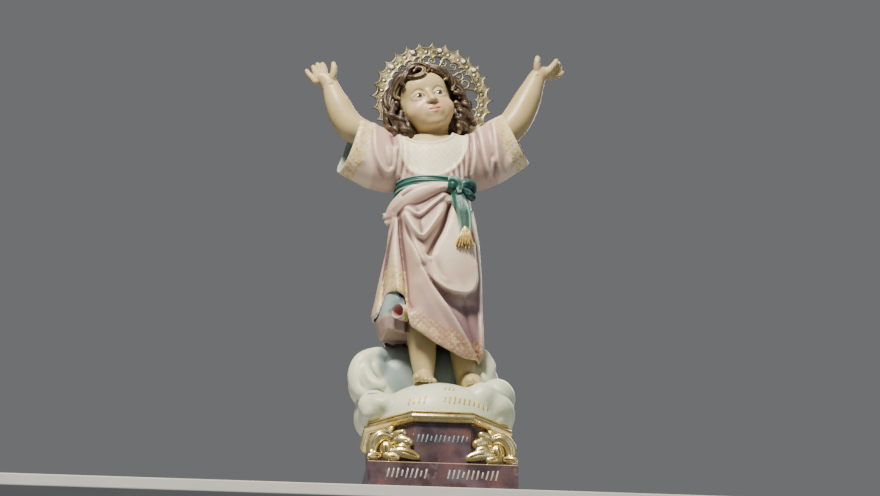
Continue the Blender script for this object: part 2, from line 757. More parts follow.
def make_skirt():
    """The skirt in clay, and the same shape before it is hollowed from below."""
    clay = Clay(*SKIRT_BOX, SKIRT_CELL)
    whole = Clay(*SKIRT_BOX, SKIRT_CELL)

    def uncut(x, y, z):
        solid = -soft_minimum(-skirt_skin(x, y, z), z - hem_height(x, y), 5)
        return np.maximum(solid, z - SKIRT_TOP)

    def hollow(x, y, z):
        wave = INNER_PLEATS["count"] * np.arctan2(y, x) + z / INNER_PLEATS["drift"]
        faded = smooth_step(z - hem_height(x, y), *INNER_PLEATS["fade"])
        pleats = INNER_PLEATS["depth"] * (1 + np.sin(wave)) * faded
        return -soft_minimum(-(skirt_skin(x, y, z) + CLOTH + pleats), HOLLOW_TOP - z, 20)

    for shape in (clay, whole):
        shape.add(filled(*UNCUT_BOX, uncut))
    clay.cut(filled(*HOLLOW_BOX, hollow), 3)
    middle = (CURL_ROOT + CURL_MOUTH) / 2
    outer = [(*CURL_ROOT, CURL["root_radius"]), (*middle, CURL["radius"]), (*CURL_MOUTH, CURL["radius"])]
    scoop = [
        (*(CURL_MOUTH - CURL["deep"] * CURL_WAY), CURL["bottom"]), (*CURL_MOUTH, CURL["inner"]),
        (*(CURL_MOUTH + CURL["ahead"] * CURL_WAY), CURL["flare"]),
    ]
    for shape in (clay, whole):
        shape.add(limb(outer), 4)
        shape.cut(limb(scoop), 2)
    return clay, whole


def make_skirt_inside():
    """The blue inside of the cloth at the open side, above the rippled hem behind the legs."""
    form = SKIRT_INSIDE
    clay = Clay((-128, -84, 336), (-30, 66, 478), form["cell"])

    def folded(x, y, z):
        c, s, outside = tunic_polar(x, y, z)
        wave = form["folds"] * np.arctan2(s, c)
        step = form["step_z"] + form["step_wave"] * np.sin(wave) - z
        low = smooth_step(step, -form["step_half"], form["step_half"])
        over_hem = z - hem_height(x, y)
        side = smooth_step(-x, *form["side"]) * smooth_step(-over_hem, *form["under_hem"])
        inset = form["above"] * (1 - low) + form["below"] * low
        inset = inset + (form["at_side"] - inset) * side
        crease = smooth_step(x, *form["crease"]) * smooth_step(over_hem, *form["over_hem"])
        crease = np.maximum(crease, smooth_step(x, *form["past_crease"]))
        inset = inset + form["behind_crease"] * crease
        outside = outside - fold_relief(x, z, [PANEL_CREST]) * smooth_step(-y, 0, 25)
        ripple = np.sin(wave) + form["second_depth"] * np.sin(form["second_folds"] * wave + 1)
        ripple = form["depth"] * ripple * (1 - form["calm_at_side"] * side)
        foot = form["foot"] + form["foot_wave"] * np.sin(wave + 1) - z
        solid = -soft_minimum(-(outside + inset - ripple), -foot, 5)
        return np.maximum(solid, np.maximum(z - form["top"], x - form["end_x"]))

    clay.add(filled(*form["box"], folded))
    return clay


# Ring lines along each sleeve on the front view: the top's x and z, the bottom's x and z, then the
# ring's middle y, its half depth and the lean of its back.
SLEEVES = {
    "right": [
        (-20, 786, -34, 694, 3, 42, 0), (-72, 787, -88, 670, 3, 50, 0),
        (-115, 802, -134, 676, 3, 50, 4), (-156, 821, -195, 704, 0, 45, 10),
    ],
    "left": [
        (18, 788, 30, 698, 3, 42, 0), (64, 796, 80, 680, 3, 50, 0),
        (104, 825, 128, 697, 3, 50, 6), (140, 847, 190, 740, 0, 45, 14),
    ],
}
SLEEVE_HOLLOW = {"inset": 4.5, "start": 2, "lip": 6}
RING_STEPS = 5


def beyond_ring(ring, x, y, z):
    """How far outward of a sleeve's ring line a place is."""
    top_x, top_z, low_x, low_z, middle_y, depth, lean = ring
    line = np.array([top_x - low_x, top_z - low_z])
    line = line / np.linalg.norm(line)
    square = (x - low_x) * line[1] - (z - low_z) * line[0]
    return np.sign(top_x) * square - lean * (y - middle_y) / depth


def sleeve_rule(rings, inset=0.0, start=0, lip=0.0):
    """The distance to a sleeve through ring lines, from one of them on and inset from its skin. It is
    cut off square at both ends, the outer one a lip past the last line, so that a hollow opens there."""
    rows = smooth_path(rings, RING_STEPS)[start * RING_STEPS:]

    def rule(x, y, z):
        share = np.zeros(np.broadcast(x, y, z).shape, np.float32)
        last = beyond_ring(rows[0], x, y, z)
        for i in range(len(rows) - 1):
            following = beyond_ring(rows[i + 1], x, y, z)
            part = np.clip(last / np.maximum(last - following, 1e-3), 0, 1)
            share = np.where(last > 0, i + part, share)
            last = following
        values = [np.interp(share, range(len(rows)), rows[:, i]).astype(np.float32) for i in range(6)]
        middle_x, middle_z = (values[0] + values[2]) / 2, (values[1] + values[3]) / 2
        half = np.hypot(values[0] - values[2], values[1] - values[3]) / 2
        up_x, up_z = (values[0] - middle_x) / half, (values[1] - middle_z) / half
        rise = (x - middle_x) * up_x + (z - middle_z) * up_z
        side = y - values[4]
        tall, deep = half - inset, values[5] - inset
        near = np.sqrt((rise / tall) ** 2 + (side / deep) ** 2)
        slope = np.sqrt((rise / tall ** 2) ** 2 + (side / deep ** 2) ** 2)
        round_part = near * (near - 1) / np.maximum(slope, TINY)
        ends = np.maximum(last - lip, -beyond_ring(rows[0], x, y, z))
        return -soft_minimum(-round_part, -ends, 3)

    return rule


def sleeve(rings, **hollow):
    """A sleeve, or the hollow in it, inside a box with room round the ring lines."""
    corners = np.array(rings)
    low = (corners[:, [0, 2]].min() - 20, -70, corners[:, [1, 3]].min() - 10)
    high = (corners[:, [0, 2]].max() + 20, 75, corners[:, [1, 3]].max() + 10)
    return filled(low, high, sleeve_rule(rings, **hollow))


TOP_BOX = ((-214, -84, 640), (212, 78, 858))
BODICE = {"box": ((-90, -80, 650), (90, 78, 800)), "foot": 650, "shoulders": 794, "edge": 8}
NECK_BOX = ((-66, -84, 740), (44, 50, 830))
NECK_BEHIND = 792
BACK_WAVES = {"height": 1.25, "across": 9, "up": 40, "from_y": (10, 40), "from_middle": (20, 60)}


def make_top():
    """The bodice and both sleeves, down to the sash."""
    clay = Clay(*TOP_BOX, 2.35)

    def bodice(x, y, z):
        _, _, outside = tunic_polar(x, y, z)
        ends = np.maximum(BODICE["foot"] - z, z - BODICE["shoulders"])
        return -soft_minimum(-outside, -ends, BODICE["edge"])

    def above_neckline(x, y, z):
        behind = smooth_step(y, -10, 30)
        return (height_on(NECKLINE, x) * (1 - behind) + NECK_BEHIND * behind - z).astype(np.float32)

    clay.add(filled(*BODICE["box"], bodice))
    for rings in SLEEVES.values():
        clay.add(sleeve(rings), 12)
    part, x, y, z = clay.window(*TOP_BOX)
    clay.distance[part] -= smooth_step(-y, -4, 24) * fold_relief(x, z, TOP_FOLDS)
    waves = BACK_WAVES["height"] * (1 + np.sin(x / BACK_WAVES["across"] + z / BACK_WAVES["up"]))
    waves = waves * smooth_step(y, *BACK_WAVES["from_y"])
    clay.distance[part] -= waves * smooth_step(np.abs(x), *BACK_WAVES["from_middle"])
    edge, _ = path_distance(x, z, YOKE_EDGE)
    roll = np.exp(-((edge / YOKE_ROLL["width"]) ** 2))
    clay.distance[part] -= smooth_step(-y, 0, 20) * YOKE_ROLL["height"] * roll
    for rings in SLEEVES.values():
        clay.cut(sleeve(rings, **SLEEVE_HOLLOW), 2)
    clay.cut(filled(*NECK_BOX, above_neckline), 2)
    return clay


CHEST = {
    "box": ((-84, -80, 696), (76, 72, 796)), "inset": 4.5, "foot": 700, "top": 786, "edge": 14,
    "collar_bones": [
        [(-44, -40, 770), (-20, -52, 764), (-4, -54, 768)], [(30, -40, 776), (12, -50, 766), (0, -54, 768)],
    ],
}


def make_chest():
    """The bare chest that shows inside the neckline."""
    clay = Clay((-84, -80, 690), (76, 72, 800), 1.6)

    def inside_bodice(x, y, z):
        _, _, outside = tunic_polar(x, y, z)
        ends = np.maximum(CHEST["foot"] - z, z - CHEST["top"])
        return -soft_minimum(-(outside + CHEST["inset"]), -ends, CHEST["edge"])

    clay.add(filled(*CHEST["box"], inside_bodice))
    for bone in CHEST["collar_bones"]:
        clay.press(bone, 3, 0.8)
    return clay


# The head.

FACE_BALLS = [
    ((0, 0, 14), (48, 45, 46), 0), ((0, -10, -14), (42, 44, 43), 10), ((0, -28, 24), (38, 26, 28), 10),
    ((-22, -30, -23), (20, 19, 19), 9), ((22, -30, -23), (20, 19, 19), 9), ((0, -24, -38), (30, 28, 21), 10),
    ((0, -41, -49), (13, 11, 10), 8), ((0, -49, -32), (15, 9, 12), 7),
]
EYE = {
    "across": 18.5, "y": -39.5, "z": -1, "radius": 11.6, "lid": 12.8, "half_width": 10.4, "half_height": 5.0,
}
EYE_SOCKET = ((19, -60, 1), (13, 13, 8), 9)
OPENING_BACK_Y = -42
NOSE = ([(0, -49, 6, 4), (0, -54, -4, 4.2), (0, -59, -13, 5)], 5)
NOSE_TIP = ((0, -60, -15.5), (6, 6, 5.5), 3)
NOSE_WING = ((6.2, -55.5, -16.5), (4, 5, 4), 3)
NOSTRIL = ((3.2, -58.5, -20.6), (1.5, 2.2, 1.2), 1)
LIPS = [
    [(-11, -52, -32.4, 1.2), (-4.5, -56.4, -31, 2.1), (0, -56.8, -31.8, 1.9), (4.5, -56.4, -31, 2.1),
     (11, -52, -32.4, 1.2)],
    [(-8.5, -53, -34.4, 1.4), (0, -56.4, -36.8, 2.8), (8.5, -53, -34.4, 1.4)],
]

# Grooves: their paths, widths and heights.
MOUTH_LINE = ([(-12, -52.5, -32.4), (-5, -58, -33.4), (0, -58.6, -33.8), (5, -58, -33.4), (12, -52.5, -32.4)],
              1.2, -1.6)
LIP_GROOVE = ([(0, -61, -21), (0, -60, -26)], 1.8, -0.8)

# The neck and its crease, in the statue's axes.
NECK = [((-6, 6, 748), 36), ((-8, 3, 780), 31), ((-11, -2, 815), 30)]
NECK_CREASE = [(-36, -16, 786), (-10, -36, 778), (18, -20, 786)]


def to_side(place, side):
    """A place on the child's left, or its mirror image on the right."""
    return (side * place[0], *place[1:])


def eye_opening(eye_x):
    """The almond between the lids, from two arcs that cross at the eye's corners."""
    wide, high = EYE["half_width"], EYE["half_height"]
    arc = (wide ** 2 + high ** 2) / (2 * high)

    def almond(x, y, z):
        above = np.hypot(x - eye_x, z - EYE["z"] + arc - high) - arc
        below = np.hypot(x - eye_x, z - EYE["z"] - arc + high) - arc
        return np.maximum(np.maximum(above, below), y - OPENING_BACK_Y)

    return filled((eye_x - 12, -70, -8), (eye_x + 12, -42, 8), almond)


def make_head():
    """The head and the neck, in the head's own axes."""
    clay = Clay((-62, -76, -112), (62, 66, 68), 1.15)
    for centre, sizes, blend in FACE_BALLS:
        clay.add(ball(centre, sizes), blend)
    for side in (-1, 1):
        place, sizes, blend = EYE_SOCKET
        clay.cut(ball(to_side(place, side), sizes), blend)
    clay.add(limb(NOSE[0]), NOSE[1])
    clay.add(ball(NOSE_TIP[0], NOSE_TIP[1]), NOSE_TIP[2])
    for side in (-1, 1):
        clay.add(ball(to_side(NOSE_WING[0], side), NOSE_WING[1]), NOSE_WING[2])
        clay.cut(ball(to_side(NOSTRIL[0], side), NOSTRIL[1]), NOSTRIL[2])
        clay.add(ball((side * EYE["across"], EYE["y"], EYE["z"]), [EYE["lid"]] * 3), 3)
    for lip in LIPS:
        clay.add(limb(lip), 2)
    clay.press(*MOUTH_LINE)
    clay.press(*LIP_GROOVE)
    for side in (-1, 1):
        eye_x = side * EYE["across"]
        clay.cut(eye_opening(eye_x), 1)
        front = EYE["y"] - 12
        clay.press([(eye_x - 9 * side, front, 4), (eye_x, front, 8), (eye_x + 9.5 * side, EYE["y"] - 9, 4)],
                   1.0, -1.1)
    clay.add(limb([[*head_place(place), radius] for place, radius in NECK], 4), 9)
    clay.press([head_place(place) for place in NECK_CREASE], 3, -1.4)
    return clay


HAIR_CAP = [
    ((0, 12, 18), (53, 45, 50)), ((-30, -22, 48), (22, 20, 16)), ((-2, -30, 58), (22, 16, 12)),
    ((26, -24, 52), (22, 18, 13)), ((-50, 0, 26), (13, 22, 24)), ((50, 0, 28), (13, 22, 24)),
    ((-30, 40, 16), (26, 14, 26)), ((30, 42, 14), (26, 14, 26)), ((16, 48, 42), (15, 13, 13)),
    ((-36, 40, -22), (27, 17, 27)), ((36, 40, -24), (27, 17, 27)), ((0, 46, -14), (31, 15, 29)),
    ((0, 36, -54), (46, 21, 21)), ((-46, 8, -40), (29, 26, 33)), ((48, 8, -36), (29, 26, 33)),
]

# Locks in the head's own axes: stations of x, y, z and radius, with how many strands they have.
LOCKS = [
    ([(-4, -32, 60, 6), (-20, -43, 56, 6.5), (-34, -45, 47, 6.5), (-42, -42, 36, 5.5), (-38, -45, 28, 4)], 4),
    ([(-14, -28, 62, 7), (-36, -34, 52, 8), (-50, -28, 36, 8), (-55, -24, 20, 7), (-50, -29, 10, 5)], 5),
    ([(-30, -20, 58, 8), (-50, -16, 42, 9), (-61, -14, 24, 9), (-66, -16, 6, 8), (-60, -20, -6, 6)], 5),
    ([(4, -32, 60, 6), (22, -43, 55, 6.5), (36, -44, 46, 6.5), (46, -38, 36, 5.5), (42, -42, 28, 4)], 4),
    ([(16, -28, 62, 7), (38, -34, 52, 8), (52, -27, 37, 8), (57, -22, 22, 8), (52, -27, 11, 5)], 5),
    ([(30, -20, 58, 8), (52, -16, 43, 9), (64, -14, 26, 10), (70, -16, 8, 9), (63, -20, -4, 6)], 5),
    ([(-30, -36, 46, 6), (-26, -47, 56, 5.5), (-12, -51, 63, 5.5), (4, -49, 61, 5.5), (14, -46, 53, 5),
      (8, -50, 46, 4)], 3),
    ([(-30, -44, 44, 4), (-18, -52, 38, 4.5), (-4, -55, 40, 4.5), (2, -54, 50, 4.5), (-8, -53, 56, 4),
      (-18, -52, 50, 3.5)], 3),
    ([(8, -34, 60, 6), (24, -42, 53, 6), (36, -43, 42, 5.5), (43, -40, 32, 4.5), (36, -43, 27, 3.5)], 3),
    ([(-6, -26, 62, 6), (8, -40, 60, 5), (20, -44, 60, 4.5), (24, -44, 52, 4), (18, -46, 48, 3.5)], 3),
    ([(-44, -4, 52, 8), (-60, -2, 34, 10), (-70, -2, 12, 10), (-68, -4, -8, 9)], 5),
    ([(44, -4, 54, 8), (62, -2, 36, 10), (74, -2, 14, 11), (72, -4, -6, 10)], 5),
    ([(-50, 4, 36, 9), (-61, 2, 14, 10), (-68, 4, -10, 11), (-62, 6, -36, 12), (-70, 10, -54, 9)], 5),
    ([(50, 4, 38, 9), (63, 2, 16, 10), (72, 4, -8, 11), (67, 6, -34, 12), (76, 10, -52, 9)], 5),
]

# Ringlets that hang beside the face: the same stations, with how many turns they make.
RINGLETS = [
    ([(-60, -20, 6, 8), (-70, -16, -14, 10), (-66, -12, -36, 11), (-72, -8, -54, 8)], 2.2),
    ([(-52, -20, -14, 7), (-58, -18, -34, 9), (-52, -16, -54, 10), (-58, -10, -70, 7)], 2.4),
    ([(-44, -16, -40, 7), (-48, -16, -58, 9), (-42, -12, -74, 7)], 1.8),
    ([(-68, 0, 10, 9), (-76, 0, -14, 10), (-72, 2, -40, 11), (-78, 4, -58, 8)], 2.4),
    ([(-60, 6, -40, 9), (-64, 4, -60, 10), (-58, 4, -76, 7)], 1.8),
    ([(60, -20, 8, 8), (74, -16, -10, 10), (70, -12, -32, 11), (78, -8, -50, 8)], 2.2),
    ([(52, -20, -14, 7), (60, -18, -32, 9), (54, -16, -52, 10), (60, -10, -68, 7)], 2.4),
    ([(46, -16, -40, 7), (50, -16, -56, 9), (46, -12, -74, 7)], 1.8),
    ([(68, 0, 12, 9), (80, 0, -12, 10), (76, 2, -38, 11), (84, 4, -54, 8)], 2.4),
    ([(62, 6, -38, 9), (68, 4, -58, 10), (62, 4, -76, 7)], 1.8),
]

# Locks side by side round the back, each through stations of z, share of the reach and radius.
BACK_LOCKS = {
    "count": 13, "strands": 4, "from_angle": 0.12, "to_angle": 0.88, "middle_y": 8, "sway": 6, "sway_z": 14,
    "reach": (62, 52), "low_reach": (60, 46), "low_z": -50,
    "stations": [
        (60, 0.42, 9), (40, 0.86, 11), (16, 1.04, 12), (-10, 1.08, 12), (-36, 1.1, 13), (-58, 1.0, 12),
        (-74, 0.94, 8),
    ],
}
HAIR_BOX = ((-102, -70, -104), (106, 76, 82))
BEHIND_HUB_BOX = ((-102, 20, -104), (106, 76, 82))
HAIR_FIT = {"across": 0.95, "above": 0.94, "below": 0.86}
STRAND = {"twist": (2.2, 3.6), "out": 0.7, "gather": 0.5, "radius": 0.38, "taper": 0.72}
LOCK_CORE = {"radius": 0.76, "taper": 0.5}


def strands(stations, count, seed):
    """The strands of a wavy lock, which wind a little round its middle."""
    path = smooth_path(stations, 4)
    chance = random.Random(seed)
    start = chance.uniform(0, 2 * math.pi)
    twist = chance.choice((-1, 1)) * chance.uniform(*STRAND["twist"])
    runs = np.gradient(path[:, :3], axis=0)
    runs = runs / np.linalg.norm(runs, axis=1)[:, None]
    across = np.cross(runs, (0.2, 1, 0.1))
    across = across / np.linalg.norm(across, axis=1)[:, None]
    upward = np.cross(across, runs)
    along = np.linspace(0, 1, len(path))
    out = STRAND["out"] * path[:, 3] * (1 - STRAND["gather"] * along ** 4)
    radius = path[:, 3] * STRAND["radius"] * (1 - STRAND["taper"] * along ** 3)
    made = []
    for strand in range(count):
        angle = start + 2 * math.pi * strand / count + twist * along
        offset = across * (np.cos(angle) * out)[:, None] + upward * (np.sin(angle) * out)[:, None]
        made.append(np.column_stack([path[:, :3] + offset, radius]))
    return made


CURLS = {
    "count": 44, "turns": 7, "rise": (-22, 62), "front_rise": (44, 66), "front": -0.25, "middle": (0, 6, 13),
    "sizes": (61, 62, 55), "wind": 4.6, "reach": 10, "tighten": 0.62, "flat": 0.9, "lift": 2,
    "thick": 3.4, "taper": 0.4,
}


def curl(out, chance):
    """A comma-shaped lock on the crown, wound in the plane of the scalp."""
    place = np.array(CURLS["middle"]) + out * np.array(CURLS["sizes"], float)
    across = np.cross(out, (0, 0, 1))
    across = across / np.linalg.norm(across)
    down = np.cross(across, out)
    begin = chance.uniform(0, 2 * math.pi)
    hand = chance.choice((-1, 1))
    stations = []
    for share in np.linspace(0, 1, 6):
        angle = begin + hand * CURLS["wind"] * share
        reach = CURLS["reach"] * (1 - CURLS["tighten"] * share)
        at = place + across * math.cos(angle) * reach * CURLS["flat"] + down * math.sin(angle) * reach
        at = at + out * CURLS["lift"] * share
        stations.append((*at, CURLS["thick"] * (1 - CURLS["taper"] * share)))
    return stations


RINGLET = {"out": 0.5, "radius": 0.5, "taper": 0.6, "core": 0.6}


def ringlet(stations, turns, seed):
    """One thick strand that winds round a hanging path like a corkscrew."""
    path = smooth_path(stations, 8)
    along = np.linspace(0, 1, len(path))
    angle = 2 * math.pi * (random.Random(seed).random() + turns * along)
    out = RINGLET["out"] * path[:, 3]
    offset = np.stack([np.cos(angle) * out, np.sin(angle) * out, np.zeros(len(path))], axis=1)
    radius = path[:, 3] * RINGLET["radius"] * (1 - RINGLET["taper"] * along ** 4)
    return np.column_stack([path[:, :3] + offset, radius])


def fit(station):
    """A station of the hair drawn in to the head."""
    x, y, z, *wide = station
    lift = HAIR_FIT["above"] if z > 0 else HAIR_FIT["below"]
    return (HAIR_FIT["across"] * x, y, lift * z, *wide)


def back_locks():
    """The plain hanging locks round the back, as stations with how many strands they have."""
    made = []
    for i in range(BACK_LOCKS["count"]):
        share = i / (BACK_LOCKS["count"] - 1)
        turn = BACK_LOCKS["from_angle"] + share * (BACK_LOCKS["to_angle"] - BACK_LOCKS["from_angle"])
        c, s = math.cos(math.pi * turn), math.sin(math.pi * turn)
        sway = BACK_LOCKS["sway"] if i % 2 else -BACK_LOCKS["sway"]
        stations = []
        for z, out, wide in BACK_LOCKS["stations"]:
            reach_x, reach_y = BACK_LOCKS["reach" if z > BACK_LOCKS["low_z"] else "low_reach"]
            lean = sway * math.sin(z / BACK_LOCKS["sway_z"])
            y = BACK_LOCKS["middle_y"] + s * reach_y * out + c * lean
            stations.append(fit((c * reach_x * out - s * lean, y, z, wide)))
        made.append((stations, BACK_LOCKS["strands"]))
    return made


def make_hair():
    """The cap of hair, its locks, curls and ringlets, and the flat seat behind for the halo's hub."""
    clay = Clay(*HAIR_BOX, 1.05)
    for centre, sizes in HAIR_CAP:
        clay.add(ball(fit(centre), sizes), 6)
    locks = [([fit(station) for station in stations], count) for stations, count in LOCKS]
    for seed, (stations, count) in enumerate(locks + back_locks()):
        core = []
        for i, (x, y, z, wide) in enumerate(stations):
            taper = LOCK_CORE["taper"] * (i / (len(stations) - 1)) ** 3
            core.append((x, y, z, wide * (LOCK_CORE["radius"] - taper)))
        clay.add(limb(core, 4), 3)
        for strand in strands(stations, count + 1, seed):
            clay.add(limb(strand, 1), 0.8)
    chance = random.Random(21)
    for i in range(CURLS["count"]):
        around = 2 * math.pi * i / CURLS["count"] * CURLS["turns"]
        up = math.radians(chance.uniform(*CURLS["rise"]))
        if math.sin(around) < CURLS["front"]:
            up = math.radians(chance.uniform(*CURLS["front_rise"]))
        out = np.array((math.cos(around) * math.cos(up), math.sin(around) * math.cos(up), math.sin(up)))
        clay.add(limb(curl(out, chance), 2), 0.6)
    for seed, (stations, turns) in enumerate(RINGLETS):
        clay.add(limb([fit((x, y, z, wide * RINGLET["core"])) for x, y, z, wide in stations], 4), 1)
        clay.add(limb(ringlet([fit(station) for station in stations], turns, seed), 1), 0.6)
    seat = head_place((HALO_CENTRE[0], HALO_CENTRE[1] - 2, HALO_CENTRE[2]))
    back = np.array(HEAD_TURN.to_matrix()).T @ np.array((0, 1, 0))

    def behind(x, y, z):
        """Everything behind the halo's plane, round its hub."""
        return -((x - seat[0]) * back[0] + (y - seat[1]) * back[1] + (z - seat[2]) * back[2])

    clay.cut(filled(*BEHIND_HUB_BOX, behind), 0)
    return clay


# Arms, legs and feet.

ARMS = {
    "right": [
        (-110, 3, 780, 25), (-150, 1, 793, 28), (-172, -1, 805, 29), (-187, -3, 824, 28),
        (-198, -5, 847, 25.5), (-208, -7, 870, 20.5), (-214, -8, 887, 17.5), (-219, -9, 897, 15.5),
    ],
    "left": [
        (104, 3, 784, 25), (138, 0, 803, 29), (158, -3, 824, 30.5), (172, -4, 846, 30.5),
        (188, -6, 880, 27), (199, -8, 907, 21.5), (206, -9, 925, 18), (212, -10, 935, 15.5),
    ],
}
ARM_BOXES = {
    "right": ((-270, -60, 756), (-86, 46, 956)),
    "left": ((86, -60, 756), (270, 46, 978)),
}
HANDS = {
    "right": {
        "palm": [(-218, -9, 894, 14), (-226, -10, 903, 14), (-236, -9, 906, 12.5)],
        "fingers": [
            [(-216, -15, 896, 8), (-211, -23, 910, 7), (-210, -26, 922, 6.2), (-211, -25, 932, 4.8)],
            [(-228, -12, 908, 8), (-228, -7, 922, 6.6), (-229, 0, 935, 5.8), (-231, 7, 945, 4.6)],
            [(-235, -11, 909, 8), (-237, -5, 924, 6.6), (-239, 3, 937, 5.8), (-241, 11, 946, 4.6)],
            [(-242, -9, 906, 7.4), (-245, -4, 920, 6.2), (-248, 3, 931, 5.4), (-250, 9, 939, 4.4)],
            [(-245, -8, 899, 7.2), (-253, -5, 909, 5.8), (-260, -1, 919, 5), (-263.5, 3, 927, 3.9)],
        ],
    },
    "left": {
        "palm": [(211, -10, 932, 14), (221, -11, 938, 13.5), (232, -9, 941, 12)],
        "fingers": [
            [(209, -15, 933, 8), (206, -23, 946, 7), (206, -27, 957, 6.2), (207, -25, 966, 4.8)],
            [(230, -15, 941, 8), (238, -15, 951, 6.6), (244, -13, 960, 5.8), (248, -10, 968, 4.6)],
            [(235, -9, 941, 8), (243, -5, 952, 6.6), (250, -1, 961, 5.8), (254, 5, 970, 4.6)],
            [(237, -4, 938, 7.4), (247, 2, 948, 6.2), (255, 7, 956, 5.4), (259, 12, 963, 4.4)],
            [(234, -3, 933, 7.2), (246, 0, 938, 5.8), (256, 3, 943, 5), (263, 6, 950, 3.9)],
        ],
    },
}
LEGS = {
    "right": [
        (-34, -8, 470, 36), (-31, -16, 380, 31), (-29, -18, 345, 29), (-27, -19, 310, 26),
        (-25, -20, 275, 20.5), (-24, -16, 252, 18), (-23, -10, 244, 17),
    ],
    "left": [
        (34, 0, 470, 36), (46, -4, 380, 30), (52, -5, 345, 27), (55, -5, 310, 24), (58, -4, 275, 19.5),
        (58, -1, 254, 17), (55, 4, 246, 16),
    ],
}
FEET = {
    "right": {"heel": (-22, -2), "heading": (-6, -84), "sole": 231},
    "left": {"heel": (60, 2), "heading": (17, -62), "sole": 236},
}

# The heel: how far ahead, across and above the sole in mm, and the radius. The other forms go ahead
# by a share of the foot's length instead.
HEEL = (-2, 0, 15, 16)
INSTEP = [(0.35, 1, 22, 18.5), (0.62, 1, 17, 17.5), (0.84, 1, 10, 11)]
TREAD = [(0.55, -12, 10, 9), (0.78, -13, 8, 8), (0.78, 13, 9, 9.5), (0.55, 12, 10, 9)]
TOE_ROOT = 0.78

# How far apart the toes stand at their roots, their middles and their tips.
TOE_SPREAD = (8.4, 8.6, 8.2)
BIG_TOE = {"size": 1.35, "reach": 4}
SMALL_TOES = {"shrink": 0.06, "reach": 2.2}


def make_arm(which):
    """An arm with its hand, whose fingers are creased and whose wrist has the fold of a small child's."""
    clay = Clay(*ARM_BOXES[which], 1.2)
    clay.add(limb(ARMS[which], 5))
    hand = HANDS[which]
    clay.add(limb(hand["palm"], 4, (0.2, 1, 0.4), 0.72), 6)
    for finger in hand["fingers"]:
        clay.add(limb(finger, 4), 2.2)
        crease = np.array(finger[1][:3]) * 0.4 + np.array(finger[2][:3]) * 0.6
        clay.press([crease + (-5, -5, 0), crease + (5, -5, 0)], 1.2, -0.7)
    wrist = np.array(ARMS[which][-2][:3])
    side = np.array((16, 0, 7)) * (1 if which == "right" else -1)
    clay.press([wrist - side, wrist + (0, -17, 0), wrist + side], 2.0, -1.6)
    return clay


def make_leg(which):
    """A leg with its foot, from the heel along its heading to five toes with nails."""
    foot = FEET[which]
    heel = np.array(foot["heel"], float)
    heading = np.array(foot["heading"], float)
    length = np.linalg.norm(heading)
    along = heading / length
    aside = np.array((along[1], -along[0]))

    def at(forward, across, height, radius):
        place = heel + along * forward + aside * across
        return (place[0], place[1], foot["sole"] + height, radius)

    def form(stations):
        return [at(length * share, *rest) for share, *rest in stations]

    low = (min(heel[0], heel[0] + heading[0]) - 42, -108, 222)
    high = (max(heel[0], heel[0] + heading[0]) + 42, 40, 452)
    clay = Clay(low, high, 1.3)
    clay.add(limb(LEGS[which], 5))
    clay.add(limb([at(*HEEL), *form(INSTEP)], 5, (0, 0, 1), 0.95), 8)
    clay.add(limb(form(TREAD), 4), 7)
    for place in (-2, -1, 0, 1, 2):
        is_big = place == 2
        big = BIG_TOE["size"] if is_big else 1 - SMALL_TOES["shrink"] * (1 - place)
        reach = length + (BIG_TOE["reach"] if is_big else place * SMALL_TOES["reach"])
        root, middle, tip = (place * spread for spread in TOE_SPREAD)
        toe = [
            at(length * TOE_ROOT, root, 9, 6 * big), at(reach - 6, middle, 8.5 * big, 5.8 * big),
            at(reach, tip, 5.6 * big, 5.6 * big),
        ]
        clay.add(limb(toe, 3), 1.6)
        nail = np.array(at(reach + 3, tip, 9.5 * big, 0)[:3])
        clay.press([nail + (-2.2 * big, 0, 0), nail + (2.2 * big, 0, 0)], 1.6, 0.5)
    return clay


# The sash, its knot and its ends.

SASH = {
    "box": ((-90, -76, 645), (84, 72, 687)), "low": 653, "high": 679, "proud": 5.5, "depth": 5, "edge": 4,
    "crease": 1.3, "creases": 0.55, "sway": 1.2, "sway_length": 26,
}

# The knot's middle, its half sizes and how softly it joins.
KNOT = ((29, -76, 652), (14, 13, 14), 1.5)

# The knot's loops, its turn and its two ends: stations, steps, the way each is flat, its flattened
# share and how softly it joins.
RIBBONS = [
    ([(22, -84, 664, 6), (34, -88, 660, 7), (40, -88, 648, 7), (36, -88, 636, 6)], 4, (0, 1, 0), 0.6, 0.8),
    ([(40, -76, 650, 6), (52, -72, 661, 9), (66, -60, 662, 9), (71, -54, 652, 7)], 4, (0.5, 1, 0), 0.6, 1),
    ([(40, -76, 644, 6), (54, -70, 640, 10), (68, -56, 636, 8)], 4, (0.5, 1, 0), 0.6, 1),
    ([(8, -72, 650, 6), (20, -74, 646, 7), (30, -76, 642, 8)], 4, (0, 1, 0), 0.6, 2),
    ([(30, -76, 640, 7), (31, -80, 622, 8), (36, -82, 606, 7)], 4, (0.1, 1, 0.1), 0.5, 1),
    ([(34, -80, 638, 9), (40, -83, 620, 12), (47, -86, 596, 14), (51, -87, 572, 12.5), (51, -87, 548, 12)],
     5, (0.1, 1, 0.1), 0.42, 1),
]

# Grooves and ridges along the ribbons: paths, widths and heights.
RIBBON_FOLDS = [
    ([(32, -90, 632), (38, -90, 612), (41, -94, 590), (45, -94, 552)], 2.4, -3),
    ([(42, -90, 634), (52, -92, 612), (58, -92, 585), (59, -92, 554)], 2.2, 2.4),
    ([(38, -90, 628), (47, -94, 606), (45, -96, 584), (52, -96, 556)], 2.6, -3),
    ([(18, -88, 650), (26, -91, 644), (34, -88, 634)], 2.2, -3),
    ([(46, -82, 653), (58, -76, 657), (68, -64, 656)], 2.4, -3.0),
    ([(46, -82, 643), (56, -76, 640), (66, -64, 638)], 2.4, -3),
]


